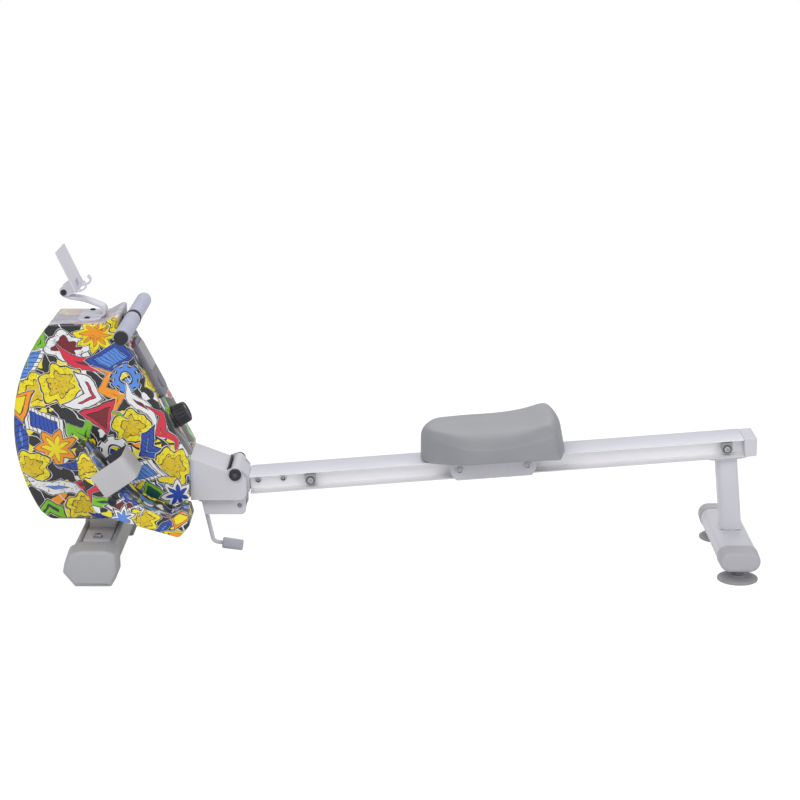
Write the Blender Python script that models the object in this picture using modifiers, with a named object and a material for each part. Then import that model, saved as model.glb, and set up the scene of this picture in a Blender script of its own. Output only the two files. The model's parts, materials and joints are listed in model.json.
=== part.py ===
"""Magnetic rowing machine with a folding rail, built as separate named pieces.

Metres, +Z up. +X runs along the rail from the flywheel housing to the rear foot,
and +Y is the rower's right when seated facing the housing. The origin is on the floor
below the middle of the machine's outline.
"""
import math

import bmesh
import bpy
from mathutils import Matrix, Vector

# Clearances
GAP = 0.0003
FLOOR = 0.0

# Flywheel housing: two moulded shells that meet on the middle plane
HOUSING_HALF = 0.090
HOUSING_WALL = 0.003
HOUSING_TOP = 0.600
HOUSING_BOTTOM = 0.1245
HOUSING_REAR = -0.466
HOUSING_RIM = 0.008
BELLY_X = -0.484
BELLY_Z = 0.345
BELLY_RADIUS = 0.393
FLYWHEEL_SETBACK = 0.142
FLYWHEEL_X = BELLY_X - BELLY_RADIUS + FLYWHEEL_SETBACK
SLOPE_LOW_Z = 0.276
SLOPE_TOP_X = -0.605
SLOPE_TOP_Z = 0.552
PEAK_X = -0.634
PEAK_RISE = 0.016
NOTCH_X = -0.623

# Steel frame inside the housing
SPINE_HALF = 0.030
SPINE_LOW = 0.170
SPINE_TALL = 0.060
SPINE_WALL = 0.004
SPINE_FRONT = FLYWHEEL_X - 0.015
SPINE_REAR = -0.402
PLATE_THICK = 0.005
MAST_FRONT = -0.715
MAST_REAR = -0.655
FOOT_PLATE_THICK = 0.005
FOOT_PLATE_HALF = 0.125

# Front stabiliser
FRONT_X = -0.685
FRONT_WIDTH = 0.095
FRONT_HALF = 0.166
FRONT_LOW = 0.022
FRONT_TOP = 0.088
FRONT_GROOVE_DEEP = 0.008
FRONT_GROOVE_WIDE = 0.069
FRONT_WALL = 0.003
CAP_LONG = 0.054
CAP_TOP = 0.093
FRONT_BOLT_Y = 0.104
BOLT_RADIUS = 0.0045

# Flywheel, brake and strap drive
FLYWHEEL_Z = 0.350
FLYWHEEL_RADIUS = 0.100
FLYWHEEL_HALF = 0.010
FLYWHEEL_WEB_HALF = 0.004
AXLE_RADIUS = 0.006
BEARING_RADIUS = 0.013
SMALL_PULLEY_RADIUS = 0.018
PULLEY_Y = 0.0215
PULLEY_HALF = 0.005
BELT_THICK = 0.0025
DRIVE_X = -0.665
DRIVE_Z = 0.505
DRIVE_PULLEY_RADIUS = 0.055
REEL_RADIUS = 0.028
REEL_HALF = 0.013
REEL_FLANGE = 0.003
REEL_FLANGE_RADIUS = 0.038
GUIDE_X = -0.640
GUIDE_Z = 0.578
GUIDE_RADIUS = 0.012
GUIDE_PIN_RADIUS = 0.003
BRAKE_PIVOT_ANGLE = math.radians(313)
BRAKE_PIN_RADIUS = 0.004
MAGNET_GAP = 0.002
MAGNET_THICK = 0.009
BRAKE_FROM = math.radians(165)
BRAKE_TO = math.radians(255)
CABLE_RADIUS = 0.0022

BRAKE_PIVOT = (FLYWHEEL_X + (FLYWHEEL_RADIUS + MAGNET_GAP + 0.014) * math.cos(BRAKE_PIVOT_ANGLE),
               FLYWHEEL_Z + (FLYWHEEL_RADIUS + MAGNET_GAP + 0.014) * math.sin(BRAKE_PIVOT_ANGLE))

# Handle and pull strap
HANDLE_X = -0.599
HANDLE_Z = 0.595
HANDLE_HALF = 0.224
HANDLE_BAR_RADIUS = 0.0125
GRIP_RADIUS = 0.0185
GRIP_INNER_Y = 0.012
HANDLE_CAP_RADIUS = 0.0165
HANDLE_CAP_LONG = 0.010
STRAP_HALF = 0.0095
STRAP_THICK = 0.0025
CRADLE_HALF = 0.072
CRADLE_TALL = 0.024

# Console and tension knob on the sloping face
CONSOLE_ALONG = 0.2227
CONSOLE_LONG = 0.152
CONSOLE_HALF = 0.050
CONSOLE_RISE = 0.010
CONSOLE_CORNER = 0.030
SCREEN_LONG = 0.070
SCREEN_HALF = 0.038
SCREEN_RISE = 0.0015
SCREEN_ALONG = 0.0295
BUTTON_ALONG = -0.042
BUTTON_RADIUS = 0.016
BUTTON_TALL = 0.007
BUTTON_PROUD = 0.003
KNOB_ALONG = 0.0872
KNOB_RADIUS = 0.028
KNOB_TALL = 0.034
KNOB_SHAFT_RADIUS = 0.004
KNOB_RIBS = 12

# Device holder on the housing top
HOLDER_BASE_FRONT = -0.723
HOLDER_BASE_REAR = -0.669
HOLDER_BASE_HALF = 0.060
HOLDER_BASE_TALL = 0.0045
HOLDER_ARM_HALF = 0.021
HOLDER_ARM_THICK = 0.005
HOLDER_PIVOT_X = -0.757
HOLDER_PIVOT_Z = 0.661
HOLDER_PLATE_HALF = 0.060
HOLDER_PLATE_THICK = 0.004
HOLDER_PLATE_TOP_X = -0.766
HOLDER_PLATE_TOP_Z = 0.762
HOLDER_PLATE_LOW_X = -0.722
HOLDER_PLATE_LOW_Z = 0.666

# Pedals
PEDAL_X = -0.632
PEDAL_Z = 0.208
PEDAL_INNER = 0.105
PEDAL_WIDE = 0.110
PEDAL_WALL = 0.004
PEDAL_HUB_RADIUS = 0.014
PEDAL_AXLE_RADIUS = 0.008
PEDAL_COLLAR_RADIUS = 0.011
PEDAL_CAP_RADIUS = 0.0105
PEDAL_CAP_LONG = 0.006
FOOT_STRAP_WIDE = 0.062
FOOT_STRAP_THICK = 0.0028
FOOT_STRAP_RISE = 0.067
FOOT_STRAP_CORNER = 0.018

# Rail bracket, fold pivot and lock
BRACKET_HALF = 0.070
BRACKET_WALL = 0.003
BRACKET_REAR = -0.333
BRACKET_LOW = 0.1665
PIVOT_X = -0.359
PIVOT_Z = 0.2304
PIVOT_BARREL_RADIUS = 0.0145
PIVOT_BOLT_RADIUS = 0.006
PIVOT_CAP_LONG = 0.0085
BUMPER_THICK = 0.006
LOCK_BOX_FRONT = -0.436
LOCK_BOX_REAR = -0.337
LOCK_BOX_HALF = 0.046
LOCK_BOX_LOW = 0.100
LOCK_BOX_WALL = 0.004
LOCK_HOLE_RADIUS = 0.006
LOCK_HOLE_X = -0.352
LOCK_HOLE_Z = 0.146
CRANK_TOP_X = -0.4437
CRANK_TOP_Z = 0.150
CRANK_BEND_X = -0.420
CRANK_BEND_Z = 0.041
CRANK_ARM_X = -0.353
CRANK_ARM_Z = 0.0315
CRANK_RADIUS = 0.0050
CRANK_GRIP_RADIUS = 0.0138
CRANK_GRIP_LONG = 0.050
CRANK_NUT_RADIUS = 0.011
CRANK_NUT_LONG = 0.016

# Rail, in its own frame: +X up the rail from its front end, +Z square to its top
RAIL_TILT = math.atan(0.0788)
RAIL_FRONT = Vector((-0.328, 0.0, 0.2195))
RAIL_LONG = 1.180
RAIL_HALF = 0.050
RAIL_TALL = 0.044
RAIL_TOP_FLANGE = 0.006
RAIL_LOW_FLANGE = 0.008
RAIL_WEB_HALF = 0.026
RAIL_LIP = 0.003
RAIL_HOLLOW_HALF = 0.022
RAIL_CAP_LONG = 0.0315
RAIL_CAP_WALL = 0.002
HINGE_WEB_HALF = 0.045
STOP_RADIUS = 0.013
STOP_THICK = 0.0180
FRONT_STOP_AT = 0.145
REAR_STOP_AT = 1.140
STOP_BOLT_RADIUS = 0.0045
STOP_BOLT_Z = -0.0215

# Seat and carriage, along the rail
SEAT_AT = 0.5828
SEAT_LONG = 0.338
SEAT_WIDE = 0.292
SEAT_CLEAR = 0.0100
SEAT_SIDE_TALL = 0.052
SEAT_FRONT_RISE = 0.010
SEAT_REAR_RISE = 0.020
SEAT_SCOOP = 0.013
SEAT_SKIRT = 0.007
SEAT_TAIL_LEAN = 0.055
SEAT_NOSE_LEAN = 0.040
CARRIAGE_LONG = 0.205
CARRIAGE_CLEAR = 0.0035
CARRIAGE_SIDE_CLEAR = 0.0032
CARRIAGE_THICK = 0.003
CARRIAGE_BELOW = 0.003
ROLLER_RADIUS = 0.0140
ROLLER_WIDE = 0.014
ROLLER_INNER_Y = 0.0300
ROLLER_SPREAD = 0.162
ROLLER_AXLE_RADIUS = 0.004
ROLLER_UP = -RAIL_TALL + RAIL_LOW_FLANGE + 2 * GAP + ROLLER_RADIUS

# Rear stand
REAR_PLATE_AT = 1.141
REAR_PLATE_LONG = 0.112
REAR_PLATE_HALF = 0.044
REAR_PLATE_THICK = 0.005
REAR_X = 0.828
REAR_POST_TOP_X = 0.8155
REAR_POST_FOOT_X = 0.831
REAR_POST_WIDE = 0.050
REAR_POST_DEEP = 0.060
REAR_POST_CORNER = 0.014
REAR_Z = 0.0545
REAR_TUBE_WIDE = 0.095
REAR_TUBE_TALL = 0.049
REAR_TUBE_HALF = 0.148
REAR_CAP_LONG = 0.052
REAR_CAP_OVER = 0.0015
PAD_Y = 0.158
PAD_RADIUS = 0.0478
PAD_EDGE = 0.006
PAD_HUB_RADIUS = 0.016
PAD_HUB_TALL = 0.012
PAD_STEM_RADIUS = 0.005

# Facets
ROUND = 24
SMALL_ROUND = 14

parts = None
cutters = None


def clear_scene():
    for old in list(bpy.data.objects):
        bpy.data.objects.remove(old, do_unlink=True)


def make_collections():
    global parts, cutters
    parts = bpy.data.collections.new("magnetic_rowing_machine")
    cutters = bpy.data.collections.new("cutters")
    for group in (parts, cutters):
        bpy.context.scene.collection.children.link(group)


def material(name, colour, roughness=0.5, metallic=0.0):
    made = bpy.data.materials.get(name)
    if made is None:
        made = bpy.data.materials.new(name)
        made.use_nodes = True
        shader = made.node_tree.nodes["Principled BSDF"]
        shader.inputs["Base Color"].default_value = (*colour, 1.0)
        shader.inputs["Roughness"].default_value = roughness
        shader.inputs["Metallic"].default_value = metallic
    return made


FINISHES = {
    "silver_paint": ((0.62, 0.62, 0.66), 0.38, 0.0),
    "grey_plastic": ((0.40, 0.40, 0.42), 0.5, 0.0),
    "light_plastic": ((0.60, 0.60, 0.66), 0.45, 0.0),
    "printed_shell": ((0.75, 0.65, 0.12), 0.35, 0.0),
    "black_plastic": ((0.03, 0.03, 0.035), 0.5, 0.0),
    "grip_foam": ((0.50, 0.52, 0.60), 0.8, 0.0),
    "bright_steel": ((0.62, 0.62, 0.62), 0.25, 1.0),
    "cast_iron": ((0.12, 0.12, 0.13), 0.5, 1.0),
    "anodised_rail": ((0.64, 0.64, 0.68), 0.35, 0.6),
    "seat_foam": ((0.35, 0.35, 0.36), 0.7, 0.0),
    "webbing": ((0.05, 0.05, 0.055), 0.9, 0.0),
    "strap_rubber": ((0.48, 0.48, 0.48), 0.6, 0.0),
}


def finish(obj, key, smooth=True):
    outward(obj)
    colour, roughness, metallic = FINISHES[key]
    obj.data.materials.clear()
    obj.data.materials.append(material(key, colour, roughness, metallic))
    if smooth:
        obj.data.shade_smooth()
        obj.data.set_sharp_from_angle(angle=math.radians(35))
    return obj


def add_object(name, mesh, group=None):
    made = bpy.data.objects.new(name, mesh)
    (group or parts).objects.link(made)
    return made


def from_bmesh(name, bm, group=None):
    mesh = bpy.data.meshes.new(name)
    bmesh.ops.recalc_face_normals(bm, faces=bm.faces)
    bm.to_mesh(mesh)
    bm.free()
    return add_object(name, mesh, group)


def box(name, low, high, group=None):
    low, high = Vector(low), Vector(high)
    bm = bmesh.new()
    bmesh.ops.create_cube(bm, size=1.0)
    bmesh.ops.scale(bm, vec=high - low, verts=bm.verts)
    bmesh.ops.translate(bm, vec=(low + high) / 2, verts=bm.verts)
    return from_bmesh(name, bm, group)


def rod(name, start, end, radius, sides=SMALL_ROUND, group=None, far_radius=None):
    start, end = Vector(start), Vector(end)
    bm = bmesh.new()
    bmesh.ops.create_cone(bm, cap_ends=True, segments=sides, radius1=radius,
                          radius2=radius if far_radius is None else far_radius,
                          depth=(end - start).length)
    turn = Vector((0, 0, 1)).rotation_difference(end - start).to_matrix().to_4x4()
    bmesh.ops.transform(bm, matrix=Matrix.Translation((start + end) / 2) @ turn, verts=bm.verts)
    return from_bmesh(name, bm, group)


def cross_rod(name, x, z, y0, y1, radius, sides=SMALL_ROUND, group=None):
    return rod(name, (x, y0, z), (x, y1, z), radius, sides, group)


def rounded(corners, steps=3):
    """Outline from corners (x, z, radius), each corner replaced by its arc."""
    points = []
    count = len(corners)
    for i, (x, z, radius) in enumerate(corners):
        here = Vector((x, z))
        if radius <= 0:
            points.append(here)
            continue
        to_last = (Vector(corners[i - 1][:2]) - here).normalized()
        to_next = (Vector(corners[(i + 1) % count][:2]) - here).normalized()
        half = to_last.angle(to_next) / 2
        middle = here + (to_last + to_next).normalized() * radius / math.sin(half)
        first = here + to_last * radius / math.tan(half) - middle
        last = here + to_next * radius / math.tan(half) - middle
        sweep = first.angle_signed(last)
        for k in range(steps + 1):
            turned_by = Matrix.Rotation(-sweep * k / steps, 2)
            points.append(middle + turned_by @ first)
    return points


def prism(name, outline, y0, y1, group=None):
    """Flat outline in X and Z, filled and extruded from y0 to y1."""
    curve = bpy.data.curves.new(name, "CURVE")
    curve.dimensions = "2D"
    curve.fill_mode = "BOTH"
    curve.extrude = abs(y1 - y0) / 2
    spline = curve.splines.new("POLY")
    spline.points.add(len(outline) - 1)
    for point, (x, z) in zip(spline.points, outline):
        point.co = (x, z, 0.0, 1.0)
    spline.use_cyclic_u = True
    flat = bpy.data.objects.new(name + "_outline", curve)
    bpy.context.scene.collection.objects.link(flat)
    bpy.context.view_layer.update()
    seen = flat.evaluated_get(bpy.context.evaluated_depsgraph_get())
    mesh = bpy.data.meshes.new_from_object(seen)
    bpy.data.objects.remove(flat, do_unlink=True)
    bm = bmesh.new()
    bm.from_mesh(mesh)
    bpy.data.meshes.remove(mesh)
    bmesh.ops.remove_doubles(bm, verts=bm.verts, dist=0.00001)
    bmesh.ops.dissolve_limit(bm, angle_limit=math.radians(0.2), verts=bm.verts, edges=bm.edges)
    stand = Matrix.Translation((0, (y0 + y1) / 2, 0)) @ Matrix.Rotation(math.pi / 2, 4, "X")
    bmesh.ops.transform(bm, matrix=stand, verts=bm.verts)
    return from_bmesh(name, bm, group)


def turned(name, profile, start, axis, sides=ROUND, group=None):
    """Profile of (radius, height) from the top down, turned about an axis from start."""
    bm = bmesh.new()
    verts = [bm.verts.new((radius, 0.0, height)) for radius, height in profile]
    for a, b in zip(verts, verts[1:]):
        bm.edges.new((a, b))
    mesh = bpy.data.meshes.new(name)
    bm.to_mesh(mesh)
    bm.free()
    made = add_object(name, mesh, group)
    screw = made.modifiers.new("turn", "SCREW")
    screw.steps = sides
    screw.render_steps = sides
    screw.use_merge_vertices = True
    screw.merge_threshold = 0.00001
    screw.use_normal_calculate = True
    bake(made)
    turn = Vector((0, 0, 1)).rotation_difference(Vector(axis)).to_matrix().to_4x4()
    made.data.transform(Matrix.Translation(start) @ turn)
    outward(made)
    return made


def outward(obj):
    bm = bmesh.new()
    bm.from_mesh(obj.data)
    bmesh.ops.remove_doubles(bm, verts=bm.verts, dist=0.000001)
    bmesh.ops.recalc_face_normals(bm, faces=bm.faces)
    bm.to_mesh(obj.data)
    bm.free()


def tube(name, points, radius, resolution=2, group=None):
    curve = bpy.data.curves.new(name, "CURVE")
    curve.dimensions = "3D"
    curve.bevel_depth = radius
    curve.bevel_resolution = resolution
    curve.use_fill_caps = True
    spline = curve.splines.new("POLY")
    spline.points.add(len(points) - 1)
    for point, at in zip(spline.points, points):
        point.co = (*at, 1.0)
    path = bpy.data.objects.new(name + "_path", curve)
    bpy.context.scene.collection.objects.link(path)
    bpy.context.view_layer.update()
    seen = path.evaluated_get(bpy.context.evaluated_depsgraph_get())
    mesh = bpy.data.meshes.new_from_object(seen)
    bpy.data.objects.remove(path, do_unlink=True)
    made = add_object(name, mesh, group)
    outward(made)
    return made


def bake(obj):
    """Applies the object's modifiers to its mesh."""
    bpy.context.view_layer.update()
    seen = obj.evaluated_get(bpy.context.evaluated_depsgraph_get())
    mesh = bpy.data.meshes.new_from_object(seen)
    old = obj.data
    obj.modifiers.clear()
    obj.data = mesh
    bpy.data.meshes.remove(old)
    return obj


def boolean(target, other, operation):
    if operation == "DIFFERENCE":
        for group in list(other.users_collection):
            group.objects.unlink(other)
        cutters.objects.link(other)
        other.hide_render = True
        other.display_type = "WIRE"
    step = target.modifiers.new(operation.lower(), "BOOLEAN")
    step.operation = operation
    step.solver = "EXACT"
    step.object = other
    bake(target)
    if operation == "UNION":
        bpy.data.objects.remove(other, do_unlink=True)
    return target


def cut(target, *others):
    for other in others:
        boolean(target, other, "DIFFERENCE")
    return target


def join(target, *others):
    for other in others:
        boolean(target, other, "UNION")
    return target


def soften(obj, width, segments=2, angle=40):
    step = obj.modifiers.new("soften", "BEVEL")
    step.width = width
    step.segments = segments
    step.limit_method = "ANGLE"
    step.angle_limit = math.radians(angle)
    step.use_clamp_overlap = True
    return bake(obj)


def arc(x, z, radius, start, end, steps):
    return [Vector((x + radius * math.cos(start + (end - start) * k / steps),
                    z + radius * math.sin(start + (end - start) * k / steps)))
            for k in range(steps + 1)]


def mirrored(obj, name):
    """The same piece on the other side of the middle plane."""
    bm = bmesh.new()
    bm.from_mesh(obj.data)
    bmesh.ops.scale(bm, vec=(1, -1, 1), verts=bm.verts)
    made = from_bmesh(name, bm)
    for slot in obj.data.materials:
        made.data.materials.append(slot)
    made.data.shade_smooth()
    made.data.set_sharp_from_angle(angle=math.radians(35))
    return made


# Directions on the housing's sloping face
SLOPE_LOW = Vector((HOUSING_REAR, 0.0, SLOPE_LOW_Z))
SLOPE_UP = (Vector((SLOPE_TOP_X, 0.0, SLOPE_TOP_Z)) - SLOPE_LOW).normalized()
SLOPE_OUT = Vector((SLOPE_UP.z, 0.0, -SLOPE_UP.x))


def on_slope(along, out=0.0, y=0.0):
    return SLOPE_LOW + SLOPE_UP * along + SLOPE_OUT * out + Vector((0, y, 0))


def slope_matrix(along, out=0.0):
    """Frame on the sloping face: X up the slope, Y across, Z out of the face."""
    across = SLOPE_OUT.cross(SLOPE_UP)
    turn = Matrix((SLOPE_UP, across, SLOPE_OUT)).transposed().to_4x4()
    return Matrix.Translation(on_slope(along, out)) @ turn


def belly_x(z):
    return BELLY_X - math.sqrt(BELLY_RADIUS ** 2 - (z - BELLY_Z) ** 2)


def housing_outline():
    """Side outline of the housing: round belly, flat top, notch for the handle, long slope."""
    top_start = math.pi - math.asin((HOUSING_TOP - 0.012 - BELLY_Z) / BELLY_RADIUS)
    low_end = math.pi + math.asin((BELLY_Z - HOUSING_BOTTOM - 0.020) / BELLY_RADIUS)
    corners = [(HOUSING_REAR, HOUSING_BOTTOM + 0.0425, 0.022),
               (HOUSING_REAR, SLOPE_LOW_Z, 0.014),
               (SLOPE_TOP_X, SLOPE_TOP_Z, 0.006),
               (NOTCH_X, SLOPE_TOP_Z + 0.012, 0.004),
               (NOTCH_X, HOUSING_TOP + PEAK_RISE, 0.006),
               (PEAK_X, HOUSING_TOP + PEAK_RISE, 0.004),
               (PEAK_X - 0.030, HOUSING_TOP, 0.012),
               (belly_x(HOUSING_TOP), HOUSING_TOP, 0.010)]
    belly = arc(BELLY_X, BELLY_Z, BELLY_RADIUS, top_start, low_end, 11)
    corners += [(p.x, p.y, 0.0) for p in belly[1:]]
    corners += [(belly_x(HOUSING_BOTTOM) + 0.010, HOUSING_BOTTOM, 0.030),
                (HOUSING_REAR - 0.200, HOUSING_BOTTOM, 0.150)]
    return rounded(corners)


def housing_cutters(tag):
    """Openings through the housing walls, named for the shell they cut."""
    mast = box(tag + "_mast_way", (SPINE_FRONT - 0.010, -0.036, HOUSING_BOTTOM - 0.02),
               (MAST_REAR + 0.010, 0.036, HOUSING_BOTTOM + 0.02))
    spine = box(tag + "_spine_way", (HOUSING_REAR - 0.03, -0.034, SPINE_LOW - 0.004),
                (HOUSING_REAR + 0.02, 0.034, SPINE_LOW + SPINE_TALL + 0.004))
    axle = cross_rod(tag + "_axle_way", PEDAL_X, PEDAL_Z, -0.12, 0.12, PEDAL_COLLAR_RADIUS + 0.001)
    strap = box(tag + "_strap_way", (NOTCH_X - 0.012, -STRAP_HALF - 0.003, HANDLE_Z - 0.012),
                (NOTCH_X + 0.012, STRAP_HALF + 0.003, HANDLE_Z + 0.006))
    knob = rod(tag + "_knob_way", on_slope(KNOB_ALONG, -0.02), on_slope(KNOB_ALONG, 0.02),
               KNOB_SHAFT_RADIUS + GAP)
    return mast, spine, axle, strap, knob


def make_housing():
    """The near shell is an open moulding given its wall; the far one mirrors it."""
    shell = prism("housing_left", housing_outline(), -HOUSING_HALF, -GAP / 2)
    bm = bmesh.new()
    bm.from_mesh(shell.data)
    seam = [f for f in bm.faces if f.calc_center_median().y > -0.001 and abs(f.normal.y) > 0.9]
    bmesh.ops.delete(bm, geom=seam, context="FACES")
    bm.to_mesh(shell.data)
    bm.free()
    soften(shell, HOUSING_RIM, 2, 60)
    wall = shell.modifiers.new("wall", "SOLIDIFY")
    wall.thickness = HOUSING_WALL
    wall.offset = -1.0
    wall.use_even_offset = True
    bake(shell)
    cut(shell, *housing_cutters("left"))
    finish(shell, "printed_shell")
    mirrored(shell, "housing_right")


def make_main_frame():
    """Welded spine tube, two bearing plates, the mast and its foot plate."""
    spine_top = SPINE_LOW + SPINE_TALL
    frame = box("main_frame", (SPINE_FRONT, -SPINE_HALF, SPINE_LOW), (SPINE_REAR, SPINE_HALF, spine_top))
    cut(frame, box("spine_bore", (SPINE_FRONT - 0.01, -SPINE_HALF + SPINE_WALL, SPINE_LOW + SPINE_WALL),
                   (SPINE_REAR + 0.01, SPINE_HALF - SPINE_WALL, spine_top - SPINE_WALL)))
    outline = rounded([(SPINE_FRONT - 0.012, SPINE_LOW + 0.006, 0.012),
                       (-0.640, SPINE_LOW + 0.006, 0.012),
                       (-0.628, 0.300, 0.030),
                       (-0.642, 0.420, 0.060),
                       (-0.630, 0.545, 0.010),
                       (-0.630, 0.588, 0.006),
                       (-0.655, 0.590, 0.008),
                       (-0.700, 0.560, 0.020),
                       (FLYWHEEL_X - 0.033, 0.390, 0.030)])
    for side in (-1, 1):
        inner, outer = side * (SPINE_HALF - 0.001), side * (SPINE_HALF + PLATE_THICK)
        join(frame, prism("bearing_plate", outline, inner, outer))
    plate_low = FRONT_TOP - FRONT_GROOVE_DEEP + GAP
    mast = box("mast", (MAST_FRONT, -SPINE_HALF, plate_low + 0.001), (MAST_REAR, SPINE_HALF, SPINE_LOW + 0.002))
    foot = box("foot_plate", (FRONT_X - FRONT_GROOVE_WIDE / 2 + 0.002, -FOOT_PLATE_HALF, plate_low),
               (FRONT_X + FRONT_GROOVE_WIDE / 2 - 0.002, FOOT_PLATE_HALF, plate_low + FOOT_PLATE_THICK))
    join(frame, mast, foot)
    for x, z, radius in ((PEDAL_X, PEDAL_Z, PEDAL_AXLE_RADIUS), (FLYWHEEL_X, FLYWHEEL_Z, AXLE_RADIUS),
                         (DRIVE_X, DRIVE_Z, AXLE_RADIUS), (GUIDE_X, GUIDE_Z, GUIDE_PIN_RADIUS),
                         (*BRAKE_PIVOT, BRAKE_PIN_RADIUS)):
        cut(frame, cross_rod("frame_bore", x, z, -0.06, 0.06, radius + GAP, SMALL_ROUND))
    for side in (-1, 1):
        cut(frame, rod("foot_bore", (FRONT_X, side * FRONT_BOLT_Y, 0.05),
                       (FRONT_X, side * FRONT_BOLT_Y, 0.11), BOLT_RADIUS, 10))
    finish(frame, "silver_paint")


def make_front_stabiliser():
    half = FRONT_WIDTH / 2
    groove = FRONT_GROOVE_WIDE / 2
    floor = FRONT_TOP - FRONT_GROOVE_DEEP
    outline = rounded([(FRONT_X - half, FRONT_LOW, 0.008), (FRONT_X + half, FRONT_LOW, 0.008),
                       (FRONT_X + half, FRONT_TOP, 0.0055), (FRONT_X + groove, FRONT_TOP, 0.0055),
                       (FRONT_X + groove, floor, 0.0), (FRONT_X - groove, floor, 0.0),
                       (FRONT_X - groove, FRONT_TOP, 0.0055), (FRONT_X - half, FRONT_TOP, 0.0055)], 3)
    beam = prism("front_stabiliser", outline, -FRONT_HALF, FRONT_HALF)
    wall = FRONT_WALL
    cut(beam, box("beam_bore", (FRONT_X - half + wall, -FRONT_HALF - 0.01, FRONT_LOW + wall),
                  (FRONT_X + half - wall, FRONT_HALF + 0.01, floor - wall)))
    for side in (-1, 1):
        y = side * FRONT_BOLT_Y
        cut(beam, rod("beam_bolt_way", (FRONT_X, y, floor - 0.02), (FRONT_X, y, floor + 0.02), BOLT_RADIUS, 10))
    finish(beam, "silver_paint")
    make_front_caps()


def make_front_caps():
    """Moulded end caps that stand on the floor."""
    half = FRONT_WIDTH / 2
    outline = rounded([(FRONT_X - half - 0.0265, 0.036, 0.012), (FRONT_X - half + 0.004, FLOOR, 0.006),
                       (FRONT_X + half - 0.001, FLOOR, 0.006), (FRONT_X + half + 0.013, 0.033, 0.010),
                       (FRONT_X + half + 0.012, 0.086, 0.014), (FRONT_X + half - 0.016, CAP_TOP, 0.022),
                       (FRONT_X - half + 0.018, CAP_TOP, 0.022), (FRONT_X - half - 0.0095, 0.084, 0.020)], 3)
    near = FRONT_HALF + GAP
    for side, name in ((-1, "front_cap_left"), (1, "front_cap_right")):
        cap = prism(name, outline, side * near, side * (near + CAP_LONG))
        bm = bmesh.new()
        bm.from_mesh(cap.data)
        for vert in bm.verts:
            if abs(vert.co.y) > near + CAP_LONG / 2:
                vert.co.x = FRONT_X + (vert.co.x - FRONT_X) * 0.93
                if vert.co.z > 0.045:
                    vert.co.z -= 0.006
        bm.to_mesh(cap.data)
        bm.free()
        soften(cap, 0.006, 1, 50)
        finish(cap, "grey_plastic")


def make_drive():
    """Flywheel, belt, pulleys and strap reel, all on shafts between the bearing plates."""
    reach = SPINE_HALF + PLATE_THICK + 0.006
    for name, x, z in (("flywheel_axle", FLYWHEEL_X, FLYWHEEL_Z), ("pulley_shaft", DRIVE_X, DRIVE_Z)):
        finish(cross_rod(name, x, z, -reach, reach, AXLE_RADIUS), "bright_steel")
    bearing_bore = BEARING_RADIUS + GAP
    rim = FLYWHEEL_RADIUS
    half = FLYWHEEL_HALF
    web = FLYWHEEL_WEB_HALF
    pulley_low, pulley_high = PULLEY_Y - PULLEY_HALF, PULLEY_Y + PULLEY_HALF
    profile = [(bearing_bore, pulley_high), (SMALL_PULLEY_RADIUS, pulley_high),
               (SMALL_PULLEY_RADIUS, pulley_low), (SMALL_PULLEY_RADIUS + 0.003, pulley_low),
               (SMALL_PULLEY_RADIUS + 0.008, web), (rim - 0.018, web), (rim - 0.015, half), (rim, half),
               (rim, -half), (rim - 0.015, -half), (rim - 0.018, -web), (0.030, -web),
               (0.026, -half - 0.004), (bearing_bore, -half - 0.004), (bearing_bore, pulley_high)]
    wheel = turned("flywheel", profile, (FLYWHEEL_X, 0, FLYWHEEL_Z), (0, 1, 0))
    finish(wheel, "cast_iron")
    bore = AXLE_RADIUS + GAP
    profile = [(bore, pulley_high), (BEARING_RADIUS, pulley_high), (BEARING_RADIUS, -half - 0.004),
               (bore, -half - 0.004), (bore, pulley_high)]
    finish(turned("flywheel_bearing", profile, (FLYWHEEL_X, 0, FLYWHEEL_Z), (0, 1, 0)), "bright_steel")

    big = DRIVE_PULLEY_RADIUS
    profile = [(bore, pulley_high), (0.014, pulley_high), (0.014, PULLEY_Y + 0.002), (big - 0.008, PULLEY_Y + 0.002),
               (big - 0.008, pulley_high), (big, pulley_high), (big, pulley_low), (big - 0.008, pulley_low),
               (big - 0.008, PULLEY_Y - 0.002), (0.014, PULLEY_Y - 0.002), (0.014, pulley_low),
               (bore, pulley_low), (bore, pulley_high)]
    finish(turned("drive_pulley", profile, (DRIVE_X, 0, DRIVE_Z), (0, 1, 0), 20), "black_plastic")

    end = REEL_HALF + REEL_FLANGE
    wide = REEL_FLANGE_RADIUS
    profile = [(bore, end), (wide, end), (wide, REEL_HALF), (REEL_RADIUS, REEL_HALF),
               (REEL_RADIUS, -REEL_HALF), (wide, -REEL_HALF), (wide, -end), (bore, -end), (bore, end)]
    finish(turned("strap_reel", profile, (DRIVE_X, 0, DRIVE_Z), (0, 1, 0)), "black_plastic")

    pin = GUIDE_PIN_RADIUS
    profile = [(0.0, reach), (pin, reach), (pin, REEL_HALF), (GUIDE_RADIUS, REEL_HALF),
               (GUIDE_RADIUS, -REEL_HALF), (pin, -REEL_HALF), (pin, -reach), (0.0, -reach)]
    finish(turned("guide_roller", profile, (GUIDE_X, 0, GUIDE_Z), (0, 1, 0), SMALL_ROUND), "grey_plastic")
    make_belt()
    make_brake()


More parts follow.
